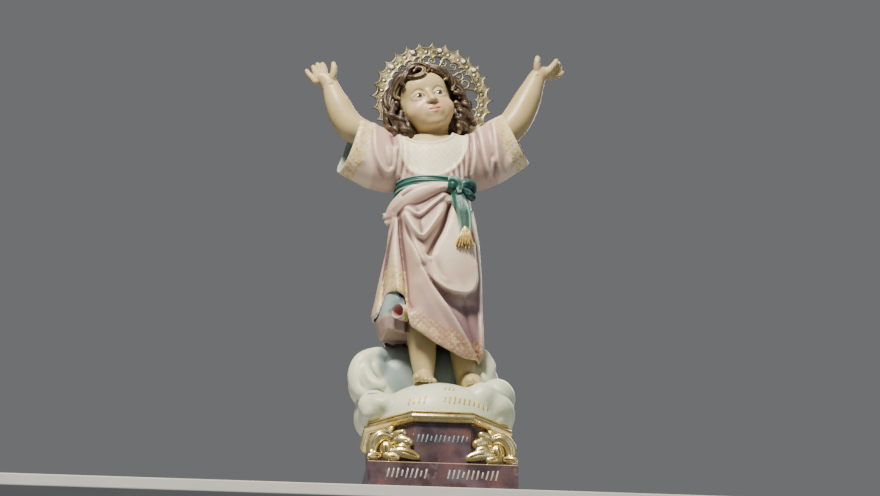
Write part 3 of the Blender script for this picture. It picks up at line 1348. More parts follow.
def make_sash():
    """The sash round the waist with its knot, its loops and its hanging ends."""
    clay = Clay((-90, -102, 540), (84, 72, 690), 1.6)

    def band(x, y, z):
        _, _, outside = tunic_polar(x, y, z)
        middle = (SASH["low"] + SASH["high"]) / 2
        half = (SASH["high"] - SASH["low"]) / 2
        sway = SASH["sway"] * np.sin(x / SASH["sway_length"])
        crease = SASH["crease"] * np.cos((z - middle) * SASH["creases"] + sway)
        skin = outside - SASH["proud"] - crease
        solid = -soft_minimum(-skin, -(np.abs(z - middle) - half), SASH["edge"])
        return np.maximum(solid, -(outside + SASH["depth"]))

    clay.add(filled(*SASH["box"], band))
    clay.add(ball(KNOT[0], KNOT[1]), KNOT[2])
    for stations, steps, facing, share, blend in RIBBONS:
        clay.add(limb(stations, steps, facing, share), blend)
    for fold in RIBBON_FOLDS:
        clay.press(*fold)
    return clay


# The tassel's two rows of threads: how far ahead their tips swing, how many threads there are and
# how far ahead they hang.
TASSEL_ROWS = [(-1, 7, 4), (1, 6, -2)]


def make_tassel():
    """The gold threads at the ribbon's end, under a flat band."""
    clay = Clay((24, -108, 500), (76, -64, 562), 0.9)
    clay.add(limb([(51, -87, 556, 8), (51, -88, 548, 9)], 3, (0, 1, 0), 0.7))
    chance = random.Random(7)
    for swing, count, ahead in TASSEL_ROWS:
        for i in range(count):
            share = (i + 0.5) / count * 2 - 1
            drop = chance.uniform(-6, 3)
            y = -87 - ahead
            tip_x = 49 + share * 19 + chance.uniform(-1.5, 1.5)
            thread = [(51 + share * 7, y, 552, 2.2), (50 + share * 12, y - 2, 538, 2.3)]
            clay.add(limb([*thread, (tip_x, y - swing, 517 - drop, 1.8)], 3), 0.2)
    clay.press([(40, -96, 548), (51, -99, 547), (62, -96, 548)], 2.0, 1.8)
    return clay


# The roll of cloth that is pulled up over the sash.

BLOUSE = [
    (34, -70, 655, 6), (16, -72, 652, 9), (-6, -73, 647, 13), (-30, -70, 639, 18), (-52, -62, 630, 21),
    (-70, -50, 619, 21), (-83, -40, 609, 18), (-92, -32, 599, 13),
]
BLOUSE_ENDS = [
    [(-84, -40, 600, 11), (-97, -32, 598, 9), (-105, -26, 601, 6.5)],
    [(-82, -38, 591, 10), (-93, -32, 586, 7.5), (-100, -28, 587, 5.5)],
]
BLOUSE_FOLDS = [
    ([(8, -86, 656), (-23, -92, 646), (-52, -87, 631), (-71, -74, 617), (-90, -54, 601)], 3.4, -6),
    ([(10, -86, 648), (-23, -92, 636), (-52, -88, 620), (-71, -75, 606), (-86, -58, 594)], 4, 3.4),
    ([(-12, -80, 664), (-44, -80, 656), (-68, -66, 643), (-88, -46, 622)], 4, 3.4),
    ([(-20, -84, 655), (-48, -82, 646), (-72, -66, 630)], 3.4, -4.5),
]


def add_blouse(clay):
    """Lays the roll over the skirt, with a dimple between its two ends and folds along it."""
    clay.add(limb(BLOUSE, 5, (0.35, 1, 0.2), 0.8), 4)
    for end in BLOUSE_ENDS:
        clay.add(limb(end, 4), 1.5)
    clay.cut(ball((-111, -27, 601), (6, 6, 3.5)), 1.5)
    for fold in BLOUSE_FOLDS:
        clay.press(*fold)


# The cloud.

# Each ball's middle, its half sizes and how softly it joins.
CLOUD_BALLS = [
    ((0, -4, 176), (126, 118, 50), 8), ((-112, -34, 184), (42, 62, 36), 5),
    ((114, -20, 188), (40, 70, 42), 5), ((0, -30, 158), (126, 101, 86), 10),
    ((84, -56, 208), (34, 44, 34), 12), ((-100, 34, 240), (54, 52, 66), 6),
    ((-140, 24, 262), (30, 40, 44), 6), ((-122, 8, 280), (28, 27, 34), 6), ((118, -12, 226), (38, 54, 40), 3),
    ((92, 44, 300), (32, 36, 44), 4), ((-64, 36, 268), (64, 40, 78), 8), ((30, 44, 270), (66, 38, 78), 8),
    ((88, 38, 262), (46, 44, 60), 6), ((-92, 84, 206), (52, 48, 46), 9), ((-6, 98, 214), (60, 40, 52), 9),
    ((84, 84, 208), (54, 48, 48), 9), ((-46, 78, 262), (50, 34, 42), 9), ((52, 84, 262), (46, 32, 42), 9),
    ((6, 60, 306), (60, 30, 44), 9), ((-124, 30, 196), (34, 60, 42), 6), ((128, 50, 196), (30, 48, 40), 6),
]
CLOUD_FOOT_BOX = ((-190, -150, 140), (180, 150, 160))

# Rolls of cloud with a crease beside them: stations of x, y, z and radius.
CLOUD_ROLLS = [
    [(-92, 22, 322, 18), (-122, 6, 314, 18), (-146, -4, 298, 18), (-156, -8, 268, 18), (-150, -14, 236, 16),
     (-132, -28, 218, 13)],
    [(-142, -12, 292, 8), (-138, -22, 266, 13), (-128, -30, 244, 16), (-112, -38, 236, 12)],
    [(-126, -50, 206, 19), (-138, -60, 190, 19), (-134, -70, 170, 16)],
    [(96, 20, 326, 16), (106, 12, 300, 16), (98, 4, 276, 13)],
    [(112, -60, 190, 18), (122, -58, 174, 17), (118, -66, 162, 13)],
]
CLOUD_CREASES = [
    ([(-150, -30, 290), (-148, -36, 262), (-138, -44, 238), (-128, -56, 224)], 4.5, -5),
    ([(-100, -66, 230), (-116, -72, 216), (-136, -66, 212)], 6, -4),
    ([(98, -66, 232), (108, -66, 220), (106, -68, 204), (118, -74, 188), (132, -62, 186)], 4.5, -5),
    ([(94, -62, 218), (98, -72, 198), (106, -80, 182)], 5, -3.5),
    ([(-112, -86, 196), (-118, -88, 182), (-112, -92, 166)], 7, -2.5),
]


def make_cloud():
    """The cloud, cut off flat where it stands on the moulding."""
    clay = Clay((-184, -142, 150), (170, 142, 372), 2.1)
    for centre, sizes, blend in CLOUD_BALLS:
        clay.add(ball(centre, sizes), blend)
    for roll in CLOUD_ROLLS:
        clay.add(limb(roll, 5), 7)
    for crease in CLOUD_CREASES:
        clay.press(*crease)

    def below(x, y, z):
        return np.broadcast_to(z - CLOUD_FLOOR, np.broadcast(x, y, z).shape)

    clay.cut(filled(*CLOUD_FOOT_BOX, below), 2)
    return clay


# The halo.

HALO = {
    "box": ((-134, 52, 768), (132, 64, 1036)), "half_thickness": 1.5, "tips": 28,
    "outer_tip": 128.5, "outer_bite": 13, "inner_tip": 86, "inner_bite": 8,
    "bead_row": 104, "bead_gap": 12.2, "hub": 32, "hub_box": ((-40, 52, 868), (38, 64, 938)),
}

# Each stone's radius and angle on the halo. A stone's flat table is a share of its girdle, and its
# other sizes and those of its setting are in mm.
HALO_STONES = [(109, 38), (107, 53), (109, 82), (109, 112), (107, 142), (76, 98)]
STONE = {"ahead": 2.4, "radius": 4.4, "girdle": 3, "crown": 1.4, "table": 0.55}
SETTING = {"ahead": 1.6, "radius": 5.2, "wire": 1.3}

# Each kind of scroll's radius on the halo, size, turns and wire, and the angles where they stand.
CREST_SCROLL = (84.5, 8.5, 1.4, 1.9)
OUTER_SCROLL = (76, 12, 1.3, 2.6)
INNER_SCROLL = (62, 8, 1.2, 2.2)
CREST_ANGLES = (60, 75, 90, 105, 120)
SIDE_ANGLES = (28, 44, 136, 152)

# A ray's stations: the radius on the halo, the share of the bend and the wire. The bend is in degrees.
RAY = [(30, 0, 2.6), (60, 1, 2.2), (92, 0, 2.4)]
RAY_BEND = 7


def on_halo(radius, degrees):
    angle = math.radians(degrees)
    return HALO_CENTRE[0] + radius * math.cos(angle), HALO_CENTRE[2] + radius * math.sin(angle)


def scroll(degrees, hand, radius, size, turns, wide):
    """A spiral of wire in the halo's plane, round a place at an angle and a radius."""
    middle_x, middle_z = on_halo(radius, degrees)
    stations = []
    count = 14
    for i in range(count + 1):
        share = i / count
        angle = math.radians(degrees + 180) + hand * share * turns * 2 * math.pi
        reach = size * (1 - 0.78 * share)
        place = (middle_x + reach * math.cos(angle), HALO_CENTRE[1], middle_z + reach * math.sin(angle))
        stations.append((*place, wide * (1 - 0.3 * share)))
    return limb(stations, 2, (0, 1, 0), 0.8)


def halo_plate(x, y, z):
    """The flat ring with points outside and inside, a raised rim and a row of beads."""
    dx, dz = x - HALO_CENTRE[0], z - HALO_CENTRE[2]
    radius = np.hypot(dx, dz)
    angle = np.arctan2(dz, dx) / (2 * math.pi) * HALO["tips"]
    share = np.mod(angle, 1) * 2 - 1
    bite = (1 - np.abs(share) ** 2.6) ** 0.6
    outer = HALO["outer_tip"] - HALO["outer_bite"] * bite
    inner = HALO["inner_tip"] + HALO["inner_bite"] * bite
    edge = np.maximum(radius - outer, inner - radius)
    rim = 0.8 * np.exp(-((edge + 2.2) / 1.1) ** 2)
    bead = np.hypot(share * HALO["bead_gap"], radius - HALO["bead_row"])
    beads = 0.9 * np.exp(-((bead / 2.6) ** 4)) - 0.5 * np.exp(-(((bead - 4.6) / 0.9) ** 2))
    small_bead = np.hypot((1 - np.abs(share)) * HALO["bead_gap"], radius - HALO["bead_row"])
    beads = beads + 0.6 * np.exp(-((small_bead / 1.6) ** 4))
    thick = HALO["half_thickness"] + rim + beads
    return -soft_minimum(-edge, -(np.abs(y - HALO_CENTRE[1]) - thick), 0.6)


def halo_hub(x, y, z):
    """The round plate behind the head."""
    disc = np.hypot(x - HALO_CENTRE[0], z - HALO_CENTRE[2]) - HALO["hub"]
    return np.maximum(disc, np.abs(y - HALO_CENTRE[1]) - HALO["half_thickness"])


def make_halo():
    """The pierced ring with its scrolls, its bent rays, its hub and the settings of its stones."""
    plane_y = HALO_CENTRE[1]
    clay = Clay(*HALO["box"], 0.9)
    clay.add(filled(*HALO["box"], halo_plate))
    for degrees in CREST_ANGLES:
        clay.add(scroll(degrees, 1 if degrees < 90 else -1, *CREST_SCROLL), 0.8)
    for degrees in SIDE_ANGLES:
        hand = 1 if degrees < 90 else -1
        clay.add(scroll(degrees, hand, *OUTER_SCROLL), 0.8)
        clay.add(scroll(degrees + 7 * hand, -hand, *INNER_SCROLL), 0.8)
    for degrees in range(15, 375, 30):
        bend = RAY_BEND if degrees < 180 else 0
        stations = []
        for radius, share, wide in RAY:
            x, z = on_halo(radius, degrees + bend * share)
            stations.append((x, plane_y, z, wide))
        clay.add(limb(stations, 5, (0, 1, 0), 0.8), 1)
    clay.add(filled(*HALO["hub_box"], halo_hub))
    for radius, degrees in HALO_STONES:
        stone_x, stone_z = on_halo(radius, degrees)
        ring = []
        for i in range(17):
            angle = i / 16 * 2 * math.pi
            x = stone_x + SETTING["radius"] * math.cos(angle)
            z = stone_z + SETTING["radius"] * math.sin(angle)
            ring.append((x, plane_y - SETTING["ahead"], z, SETTING["wire"]))
        clay.add(limb(ring, 1), 0.5)
    return clay


def make_stones():
    """Clear cut stones in the halo's settings: an eight-sided girdle with a bevelled crown."""
    stones = []
    for radius, degrees in HALO_STONES:
        stone_x, stone_z = on_halo(radius, degrees)
        drop_selection()
        place = Vector((stone_x, HALO_CENTRE[1] - STONE["ahead"], stone_z)) * MM
        radius_m, depth_m = STONE["radius"] * MM, STONE["girdle"] * MM
        bpy.ops.mesh.primitive_cylinder_add(vertices=8, radius=radius_m, depth=depth_m, location=place,
                                            rotation=(math.pi / 2, 0, 0))
        stone = bpy.context.object
        bpy.ops.object.transform_apply(location=True, rotation=True, scale=True)
        in_edit_mode(select_none)
        for face in stone.data.polygons:
            face.select = face.normal.y < -0.9
        bpy.ops.object.mode_set(mode="EDIT")
        bpy.ops.mesh.extrude_region_move(TRANSFORM_OT_translate={"value": (0, -STONE["crown"] * MM, 0)})
        bpy.ops.transform.resize(value=(STONE["table"], 1, STONE["table"]), center_override=place)
        bpy.ops.object.mode_set(mode="OBJECT")
        stones.append(stone)
    joined = join(stones, "halo_stones")
    joined.data.materials.append(stone_finish())
    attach(joined, "root")


# The plinth's gilt moulding and corner sprays.

# The moulding's outline: how far its flats stand from the middle, and their heights above its foot.
MOULDING_PROFILE = [
    (137.0, 0.0), (139.5, 1.0), (139.5, 3.0), (141.5, 4.2), (144.0, 6.8), (145.0, 10.0), (144.0, 13.2),
    (141.5, 15.8), (139.0, 17.0), (138.2, 18.4), (140.0, 19.4), (140.0, 21.2), (138.6, 22.0),
]
RED_LINE = {"height": 17.8, "width": 1.2}


def make_moulding(finish):
    """An eight-sided half-round moulding between two fillets, extruded upwards step by step."""
    drop_selection()
    corner = 1 / math.cos(math.pi / 8)
    first_radius, first_height = MOULDING_PROFILE[0]
    low = (MOULDING_LOW + first_height) * MM
    bpy.ops.mesh.primitive_circle_add(vertices=8, radius=first_radius * corner * MM, location=(0, 0, low),
                                      rotation=(0, 0, math.pi / 8), fill_type="NGON")
    moulding = bpy.context.object
    moulding.name = "gilt_moulding"
    bpy.ops.object.transform_apply(location=True, rotation=True, scale=True)
    bpy.ops.object.mode_set(mode="EDIT")
    bpy.ops.mesh.select_all(action="SELECT")
    for (radius, height), (wider, higher) in zip(MOULDING_PROFILE, MOULDING_PROFILE[1:]):
        bpy.ops.mesh.extrude_region_move(TRANSFORM_OT_translate={"value": (0, 0, (higher - height) * MM)})
        share = wider / radius
        bpy.ops.transform.resize(value=(share, share, 1), center_override=(0, 0, low))
    bpy.ops.mesh.select_all(action="SELECT")
    bpy.ops.mesh.normals_make_consistent(inside=False)
    bpy.ops.object.mode_set(mode="OBJECT")
    modify(moulding, "BEVEL", width=0.5 * MM, segments=2, limit_method="ANGLE", angle_limit=math.radians(12))
    bpy.ops.object.shade_smooth_by_angle(angle=math.radians(35))
    heights = np.array([point.co.z for point in moulding.data.vertices]) / MM - MOULDING_LOW
    note(moulding, "recess", np.zeros(len(heights)))
    note(moulding, "red_line", np.exp(-((heights - RED_LINE["height"]) / RED_LINE["width"]) ** 2))
    moulding.data.materials.append(finish)
    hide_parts("gilded_moulding")
    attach(moulding, "root")


def add_leaf(clay, spine, facing, share=0.55):
    """A plump carved leaf with a round end and a groove along its middle."""
    clay.add(limb(spine, 5, facing, share), 1)
    path = smooth_path(spine, 6)
    facing = np.array(facing, float) / np.linalg.norm(facing)
    crest = [point[:3] - facing * point[3] * share for point in path[:-3]]
    clay.press(crest, 1.6, -1.8, 1)


SPRAY_STEM = [(94, -97, 131, 8), (98, -102, 122, 7.5), (103, -108, 112, 9)]
SPRAY_ARCH = [
    (92, -112, 99, 10), (106, -118, 108, 12), (121, -119, 105, 13.5), (132, -117, 90, 13),
    (134, -119, 73, 10), (128, -126, 60, 7),
]
SPRAY_EYE = {"middle": (106, -126, 79), "sizes": (14, 11, 16), "grooves_y": -136, "grooves": (11, 14)}
SPRAY_LEAVES = [
    [(98, -114, 103, 6), (86, -124, 108, 9.5), (75, -131, 111, 7)],
    [(94, -120, 93, 7), (78, -132, 95, 11), (64, -138, 90, 8)],
    [(90, -128, 81, 7), (78, -136, 79, 9), (68, -138, 76, 7)],
    [(98, -130, 70, 8), (78, -136, 70, 11), (60, -138, 65, 9.5), (49, -139, 61, 6)],
    [(108, -131, 63, 7), (98, -136, 60, 8), (88, -138, 58, 6)],
    [(122, -127, 64, 7), (132, -133, 62, 8), (140, -136, 59, 5)],
]
SPRAY_BOX = ((30, -150, 44), (152, -80, 140))
SPRAY_SHARE = 0.5
SPRAY_REACH = 2.5
SPRAY_GAP = 0.4


def make_spray(finish):
    """Both corner sprays: a stem, an arch with two grooves, a grooved round eye and leaves."""
    clay = Clay((36, -148, 48), (150, -84, 136), 0.85)
    clay.add(limb(SPRAY_STEM, 4))
    clay.press([(96, -106, 131), (103, -117, 112)], 1.6, -1.4)
    clay.add(limb(SPRAY_ARCH, 5, (-0.3, 1, 0.2), 0.85), 2)
    for lift in (-5, 4):
        groove = [(x + lift * 0.4, y - wide * 0.88, z + lift) for x, y, z, wide in SPRAY_ARCH[:5]]
        clay.press(groove, 1.8, -2)
    clay.add(ball(SPRAY_EYE["middle"], SPRAY_EYE["sizes"]), 1)
    eye_x, _, eye_z = SPRAY_EYE["middle"]
    wide, high = SPRAY_EYE["grooves"]
    for degrees in (-34, 20):
        bow = []
        for rise in (-60, -20, 20, 60):
            x = eye_x + wide * math.sin(math.radians(degrees)) * math.cos(math.radians(rise))
            bow.append((x, SPRAY_EYE["grooves_y"], eye_z + high * math.sin(math.radians(rise))))
        clay.press(bow, 1.8, -1.8)
    for spine in SPRAY_LEAVES:
        add_leaf(clay, spine, (0.25, 1, 0.15))

    def kept_clear(x, y, z):
        """The block, the drum and the moulding, with a thin gap round them."""
        drum = np.maximum(np.maximum(np.abs(x), np.abs(y)), (np.abs(x) + np.abs(y)) / math.sqrt(2))
        ledge = z - BLOCK_TOP - SPRAY_GAP
        over = MOULDING_LOW - SPRAY_GAP - z
        return np.minimum(np.minimum(drum - DRUM_ACROSS / 2 - SPRAY_GAP, ledge), over)

    clay.cut(filled(*SPRAY_BOX, kept_clear))
    points, faces = clay.skin()
    soft = clay.blurred(SPRAY_REACH)
    for side, name in ((1, "left_spray"), (-1, "right_spray")):
        turned = faces if side > 0 else faces[:, ::-1]
        spray = make_piece(name, points * (side, 1, 1), turned, finish, 1)
        thin_out(spray, SPRAY_SHARE)
        note(spray, "recess", clay.read(soft, points_of(spray) * (side, 1, 1)) / SPRAY_REACH)
        bare_marks(spray, ("red_line",))
        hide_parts("ornament_left" if side > 0 else "ornament_right")


# The painted inscriptions, as rows of shallow strokes.

def add_strokes(name, marks, finish, size):
    """A row of low bars with rounded ends, each at a place with a lean and a face to lie on.
    The size is a bar's width, its height and how far it stands out, in mm."""
    wide, high, raised = size
    bars = []
    for (x, y, z), lean, tall, facing in marks:
        drop_selection()
        bpy.ops.mesh.primitive_cube_add(size=1)
        bar = bpy.context.object
        bar.scale = (wide * MM, 2 * raised * MM, high * tall * MM)
        bpy.ops.object.transform_apply(location=False, rotation=False, scale=True)
        modify(bar, "BEVEL", width=0.45 * raised * MM, segments=2)
        turn = Vector((0, -1, 0)).rotation_difference(Vector(facing)).to_euler()
        bar.rotation_euler = (turn.to_matrix() @ Euler((0, math.radians(lean), 0)).to_matrix()).to_euler()
        bar.location = Vector((x, y, z)) * MM
        bpy.ops.object.transform_apply(location=True, rotation=True, scale=True)
        bars.append(bar)
    row = join(bars, name)
    bpy.ops.object.shade_smooth_by_angle(angle=math.radians(40))
    row.data.materials.append(finish)
    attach(row, "root")


def strokes_on(piece, places):
    """Strokes laid against the front of a piece, square to its surface."""
    marks = []
    for x, z, tall in places:
        start = Vector((x, -200, z)) * MM
        _, place, facing, _ = piece.ray_cast(start, Vector((0, 1, 0)))
        marks.append((tuple(place / MM), 14, tall, tuple(facing)))
    return marks


def stroke_row(from_x, to_x, count, z, y, seed):
    """Places for strokes that all lean the same way, with a shorter one after every third."""
    chance = random.Random(seed)
    marks = []
    for i in range(count):
        x = from_x + (to_x - from_x) * i / (count - 1)
        tall = 0.6 if i % 4 == 3 else chance.uniform(0.86, 1.0)
        marks.append(((x, y, z), chance.uniform(13, 17), tall, (0, -1, 0)))
    return marks


# Finishes of this statue.

def skin_finish():
    """Flesh paint with warm hollows, pale crests, a blush, red lips and dark brows."""
    paint = Finish("painted_skin", 0.42, Coat_Weight=0.15, Coat_Roughness=0.3)
    colour = paint.two_tone(14, 2, (0.3, 0.75), (0.53, 0.40, 0.19), (0.65, 0.51, 0.27))
    colour = paint.over(colour, "recess", 0.8, (0.26, 0.14, 0.07), (0.0, -0.3))
    colour = paint.over(colour, "recess", 0.4, (0.84, 0.70, 0.40), (0.1, 0.4))
    colour = paint.over(colour, "blush", 0.55, (0.72, 0.27, 0.20))
    colour = paint.over(colour, "lips", 0.7, (0.50, 0.13, 0.10))
    colour = paint.over(colour, "brow", 0.75, (0.14, 0.08, 0.05))
    paint.relief(paint.noise(220, 4) + paint.noise(40) * 2, 0.0006, 0.35)
    return paint.done(paint.wear(colour, 0.3), paint.dullness(30, 0.14, 0.34))


def cloth_finish():
    """Pink paint with mauve hollows and creamy crests, a cream yoke, gilt borders and a blue lining."""
    paint = Finish("painted_tunic", 0.45, Coat_Weight=0.1, Coat_Roughness=0.35)
    colour = paint.two_tone(9, 3, (0.25, 0.75), (0.57, 0.37, 0.30), (0.73, 0.56, 0.45))
    colour = paint.over(colour, "recess", 0.9, (0.19, 0.085, 0.11), (0.04, -0.24))
    colour = paint.over(colour, "recess", 0.75, (0.93, 0.78, 0.62), (0.06, 0.3))
    colour = paint.over(colour, "mauve", 0.85, (0.27, 0.15, 0.18))
    colour = paint.over(colour, "rose", 0.6, (0.40, 0.12, 0.11))
    colour = paint.over(colour, "yoke", 1.0, (0.97, 0.91, 0.68))
    trim = paint.attribute("trim")
    gilding = tunic_gilding(paint, trim)
    wash = trim.step(0.78, 0.98) * paint.noise(35).step(0.3, 0.6) * 0.55
    colour = paint.mix(wash, colour, (0.84, 0.68, 0.36))
    gold = paint.two_tone(80, 3, (0.35, 0.65), (0.60, 0.40, 0.10), (0.90, 0.74, 0.36))
    colour = paint.mix(gilding * 0.85, colour, gold)
    lining = paint.two_tone(9, 3, (0.3, 0.7), (0.22, 0.30, 0.34), (0.38, 0.48, 0.50))
    colour = paint.over(colour, "lining", 1.0, lining)
    colour = paint.over(colour, "piping", 0.8, (0.26, 0.13, 0.10))
    paint.relief(paint.noise(160, 4) + paint.noise(45) * 1.5 + gilding, 0.0008, 0.4)
    return paint.done(paint.wear(colour, 0.4), paint.dullness(26, 0.16, 0.36))


def tunic_gilding(paint, trim):
    """Small generic gilt marks on the borders: a lattice, vines, petals and flowers."""
    x, _, z = paint.axes()
    lattice = (((x + z) * 260).wave() * ((x - z) * 260).wave()).size().step(0.45, 0.75)
    vines = (paint.noise(55) - 0.5).size().step(0.03, 0.012)
    petals = paint.cells(95).step(0.40, 0.28) * paint.noise(30).step(0.35, 0.5)
    marks = lattice.either(vines).either(petals) * trim
    flowers = paint.cells(42).step(0.42, 0.34) * (paint.noise(150) - 0.5).size().step(0.08, 0.03)
    return marks.either(flowers * trim.step(0.5, 0.8))


def hair_finish():
    """Dark brown paint with gold on the crests of some strands."""
    paint = Finish("painted_hair", 0.42)
    colour = paint.two_tone(30, 3, (0.3, 0.7), (0.036, 0.021, 0.014), (0.08, 0.048, 0.03))
    colour = paint.over(colour, "recess", 0.85, (0.016, 0.009, 0.008), (0.05, -0.25))
    gold = paint.attribute("recess").step(0.08, 0.34) * paint.noise(45).step(0.40, 0.56)
    colour = paint.mix(gold * 0.8, colour, (0.58, 0.44, 0.19))
    paint.relief(paint.noise(140, 4, (1, 1, 0.22)), 0.0016, 0.6)
    return paint.done(colour, paint.dullness(50, 0.2, 0.32), gold * 0.3)


def sash_finish():
    """Green-blue paint, nearly black in the hollows and pale on the crests."""
    paint = Finish("painted_sash", 0.38)
    colour = paint.two_tone(24, 3, (0.3, 0.7), (0.008, 0.052, 0.050), (0.021, 0.105, 0.095))
    colour = paint.over(colour, "recess", 0.85, (0.004, 0.022, 0.03), (0.0, -0.3))
    colour = paint.over(colour, "recess", 0.8, (0.30, 0.62, 0.48), (0.14, 0.40))
    paint.relief(paint.noise(120, 4), 0.0006, 0.4)
    return paint.done(paint.wear(colour, 0.2), paint.dullness(40, 0.2, 0.28))


def gold_paint_finish():
    paint = Finish("gold_paint", 0.4)
    colour = paint.two_tone(70, 3, (0.3, 0.7), (0.50, 0.33, 0.07), (0.80, 0.62, 0.22))
    colour = paint.over(colour, "recess", 1.0, (0.12, 0.12, 0.05), (0.05, -0.25))
    paint.relief(paint.noise(200, 3, (1, 1, 0.3)), 0.0006, 0.5)
    gleam = paint.attribute("recess").step(-0.1, 0.2) * 0.6
    return paint.done(colour, paint.dullness(60, 0.2, 0.3), gleam)


def cloud_finish():
    """Pale green-white paint, dusky in the hollows and behind the legs."""
    paint = Finish("painted_cloud", 0.42, Coat_Weight=0.12, Coat_Roughness=0.3)
    colour = paint.two_tone(10, 3, (0.3, 0.75), (0.65, 0.73, 0.53), (0.86, 0.90, 0.68))
    colour = paint.over(colour, "recess", 0.85, (0.13, 0.20, 0.22), (0.02, -0.22))
    colour = paint.over(colour, "recess", 0.5, (0.92, 0.94, 0.76), (0.1, 0.4))
    colour = paint.over(colour, "behind_legs", 0.85, (0.19, 0.27, 0.31))
    paint.relief(paint.noise(120, 4) + paint.noise(30) * 2, 0.0009, 0.4)
    return paint.done(paint.wear(colour, 0.4), paint.dullness(26, 0.16, 0.34))


def marble_finish():
    """Soft patches of maroon, red-brown and dusky purple under varnish, and a gold line on the block."""
    paint = Finish("marbled_plinth", 0.3, Coat_Weight=0.4, Coat_Roughness=0.2)
    colour = paint.two_tone(22, 4, (0.35, 0.65), (0.055, 0.032, 0.042), (0.12, 0.072, 0.082))
    red_brown = paint.noise(17, 4, (1.3, 1, 1)).step(0.52, 0.70) * 0.8
    colour = paint.mix(red_brown, colour, (0.20, 0.085, 0.078))
    purple = paint.noise(19, 4, (1, 1, 1.6)).step(0.54, 0.74) * 0.7
    colour = paint.mix(purple, colour, (0.13, 0.11, 0.17))
    colour = paint.mix(paint.noise(60, 5).step(0.60, 0.72) * 0.4, colour, (0.27, 0.20, 0.19))
    x, y, z = paint.axes()
    edge = x.size().either(y.size()).step(0.1424, 0.1430) * z.step(0.0474, 0.0482)
    colour = paint.mix(edge * 0.75, colour, (0.62, 0.48, 0.26))
    paint.relief(paint.noise(90, 4), 0.0005, 0.3)
    return paint.done(colour, paint.dullness(40, 0.2, 0.22))


def gilt_finish():
    """Gold leaf with the red ground showing where it's worn, and dark hollows."""
    paint = Finish("gold_leaf", 0.3, 1.0)
    colour = paint.two_tone(45, 3, (0.3, 0.7), (0.90, 0.68, 0.22), (1.0, 0.88, 0.46))
    worn = paint.noise(85, 5).step(0.70, 0.78) * 0.7
    colour = paint.mix(worn, colour, (0.28, 0.07, 0.03))
    colour = paint.over(colour, "recess", 0.85, (0.13, 0.07, 0.02), (0.0, -0.3))
    colour = paint.over(colour, "red_line", 0.8, (0.22, 0.07, 0.03))
    paint.relief(paint.noise(110) + paint.noise(30) * 1.5, 0.0005, 0.35)
    return paint.done(colour, paint.dullness(70, 0.16, 0.2), 0.92 - worn * 0.6)


def brass_finish():
    """Aged brass with tarnish and fine punched dots."""
    paint = Finish("aged_brass", 0.38, 0.9)
    colour = paint.two_tone(40, 4, (0.3, 0.7), (0.11, 0.095, 0.055), (0.27, 0.235, 0.145))
    colour = paint.over(colour, "recess", 0.8, (0.06, 0.05, 0.03), (0.0, -0.4))
    tarnish = paint.noise(75, 5).step(0.58, 0.7) * 0.6
    colour = paint.mix(tarnish, colour, (0.16, 0.17, 0.13))
    dots = paint.cells(420).step(0.32, 0.18)
    paint.relief(dots * -1 + paint.noise(200) * 0.6, 0.0006, 0.6)
    return paint.done(colour, paint.dullness(60, 0.25, 0.28), 0.92 - tarnish * 0.5)


def stone_finish():
    paint = Finish("clear_stone", 0.06, IOR=1.55)
    return paint.done(paint.two_tone(20, 3, (0.4, 0.6), (0.80, 0.90, 0.95), (0.95, 0.98, 1.0)))


def stroke_finish(name, dark, light, metallic):
    paint = Finish(name, 0.4)
    colour = paint.two_tone(90, 4, (0.3, 0.7), dark, light)
    paint.relief(paint.noise(300), 0.0004, 0.4)
    gleam = paint.noise(50).step(0.3, 0.7) * metallic
    return paint.done(colour, paint.dullness(80, 0.2, 0.3), gleam)


def eye_finish(name, centre):
    """A painted eye: white, a brown iris with a darker rim, a pupil and a small light."""
    paint = Finish(name, 0.12, Coat_Weight=0.6, Coat_Roughness=0.05)
    x, y, z = paint.axes(centre, HEAD_TURN, HEAD_SIZE)
    gaze_x, gaze_z = 0.0002, 0.0012
    off = ((x - gaze_x) ** 2 + (z - gaze_z) ** 2) ** 0.5 + paint.noise(400) * 0.0002
    in_front = y.step(0.0, -0.002)
    colour = paint.mix(off.step(0.0052, 0.0046) * in_front, (0.52, 0.49, 0.42), (0.03, 0.02, 0.015))
    colour = paint.mix(off.step(0.0044, 0.0038) * in_front, colour, (0.13, 0.065, 0.03))
    colour = paint.mix(off.step(0.0024, 0.0020) * in_front, colour, (0.006, 0.005, 0.005))
    light = ((x + 0.0012) ** 2 + (z - 0.0028) ** 2) ** 0.5
    colour = paint.mix(light.step(0.0009, 0.0006) * in_front, colour, (0.9, 0.9, 0.86))
    return paint.done(colour)


def floor_finish():
    paint = Finish("pale_floor", 0.6)
    return paint.done(paint.two_tone(6, 3, (0.3, 0.7), (0.60, 0.60, 0.60), (0.66, 0.66, 0.65)))


# Putting it together.

def make_floor():
    """A thin pale slab whose front edge is just ahead of the block, because the camera looks up."""
    drop_selection()
    bpy.ops.mesh.primitive_cube_add(size=1, location=(0, 0.35, -0.0125))
    floor = bpy.context.object
    floor.name = "floor"
    floor.scale = (3.0, 1.0, 0.025)
    bpy.ops.object.transform_apply(location=True, rotation=True, scale=True)
    modify(floor, "BEVEL", width=0.003, segments=3)
    floor.data.materials.append(floor_finish())


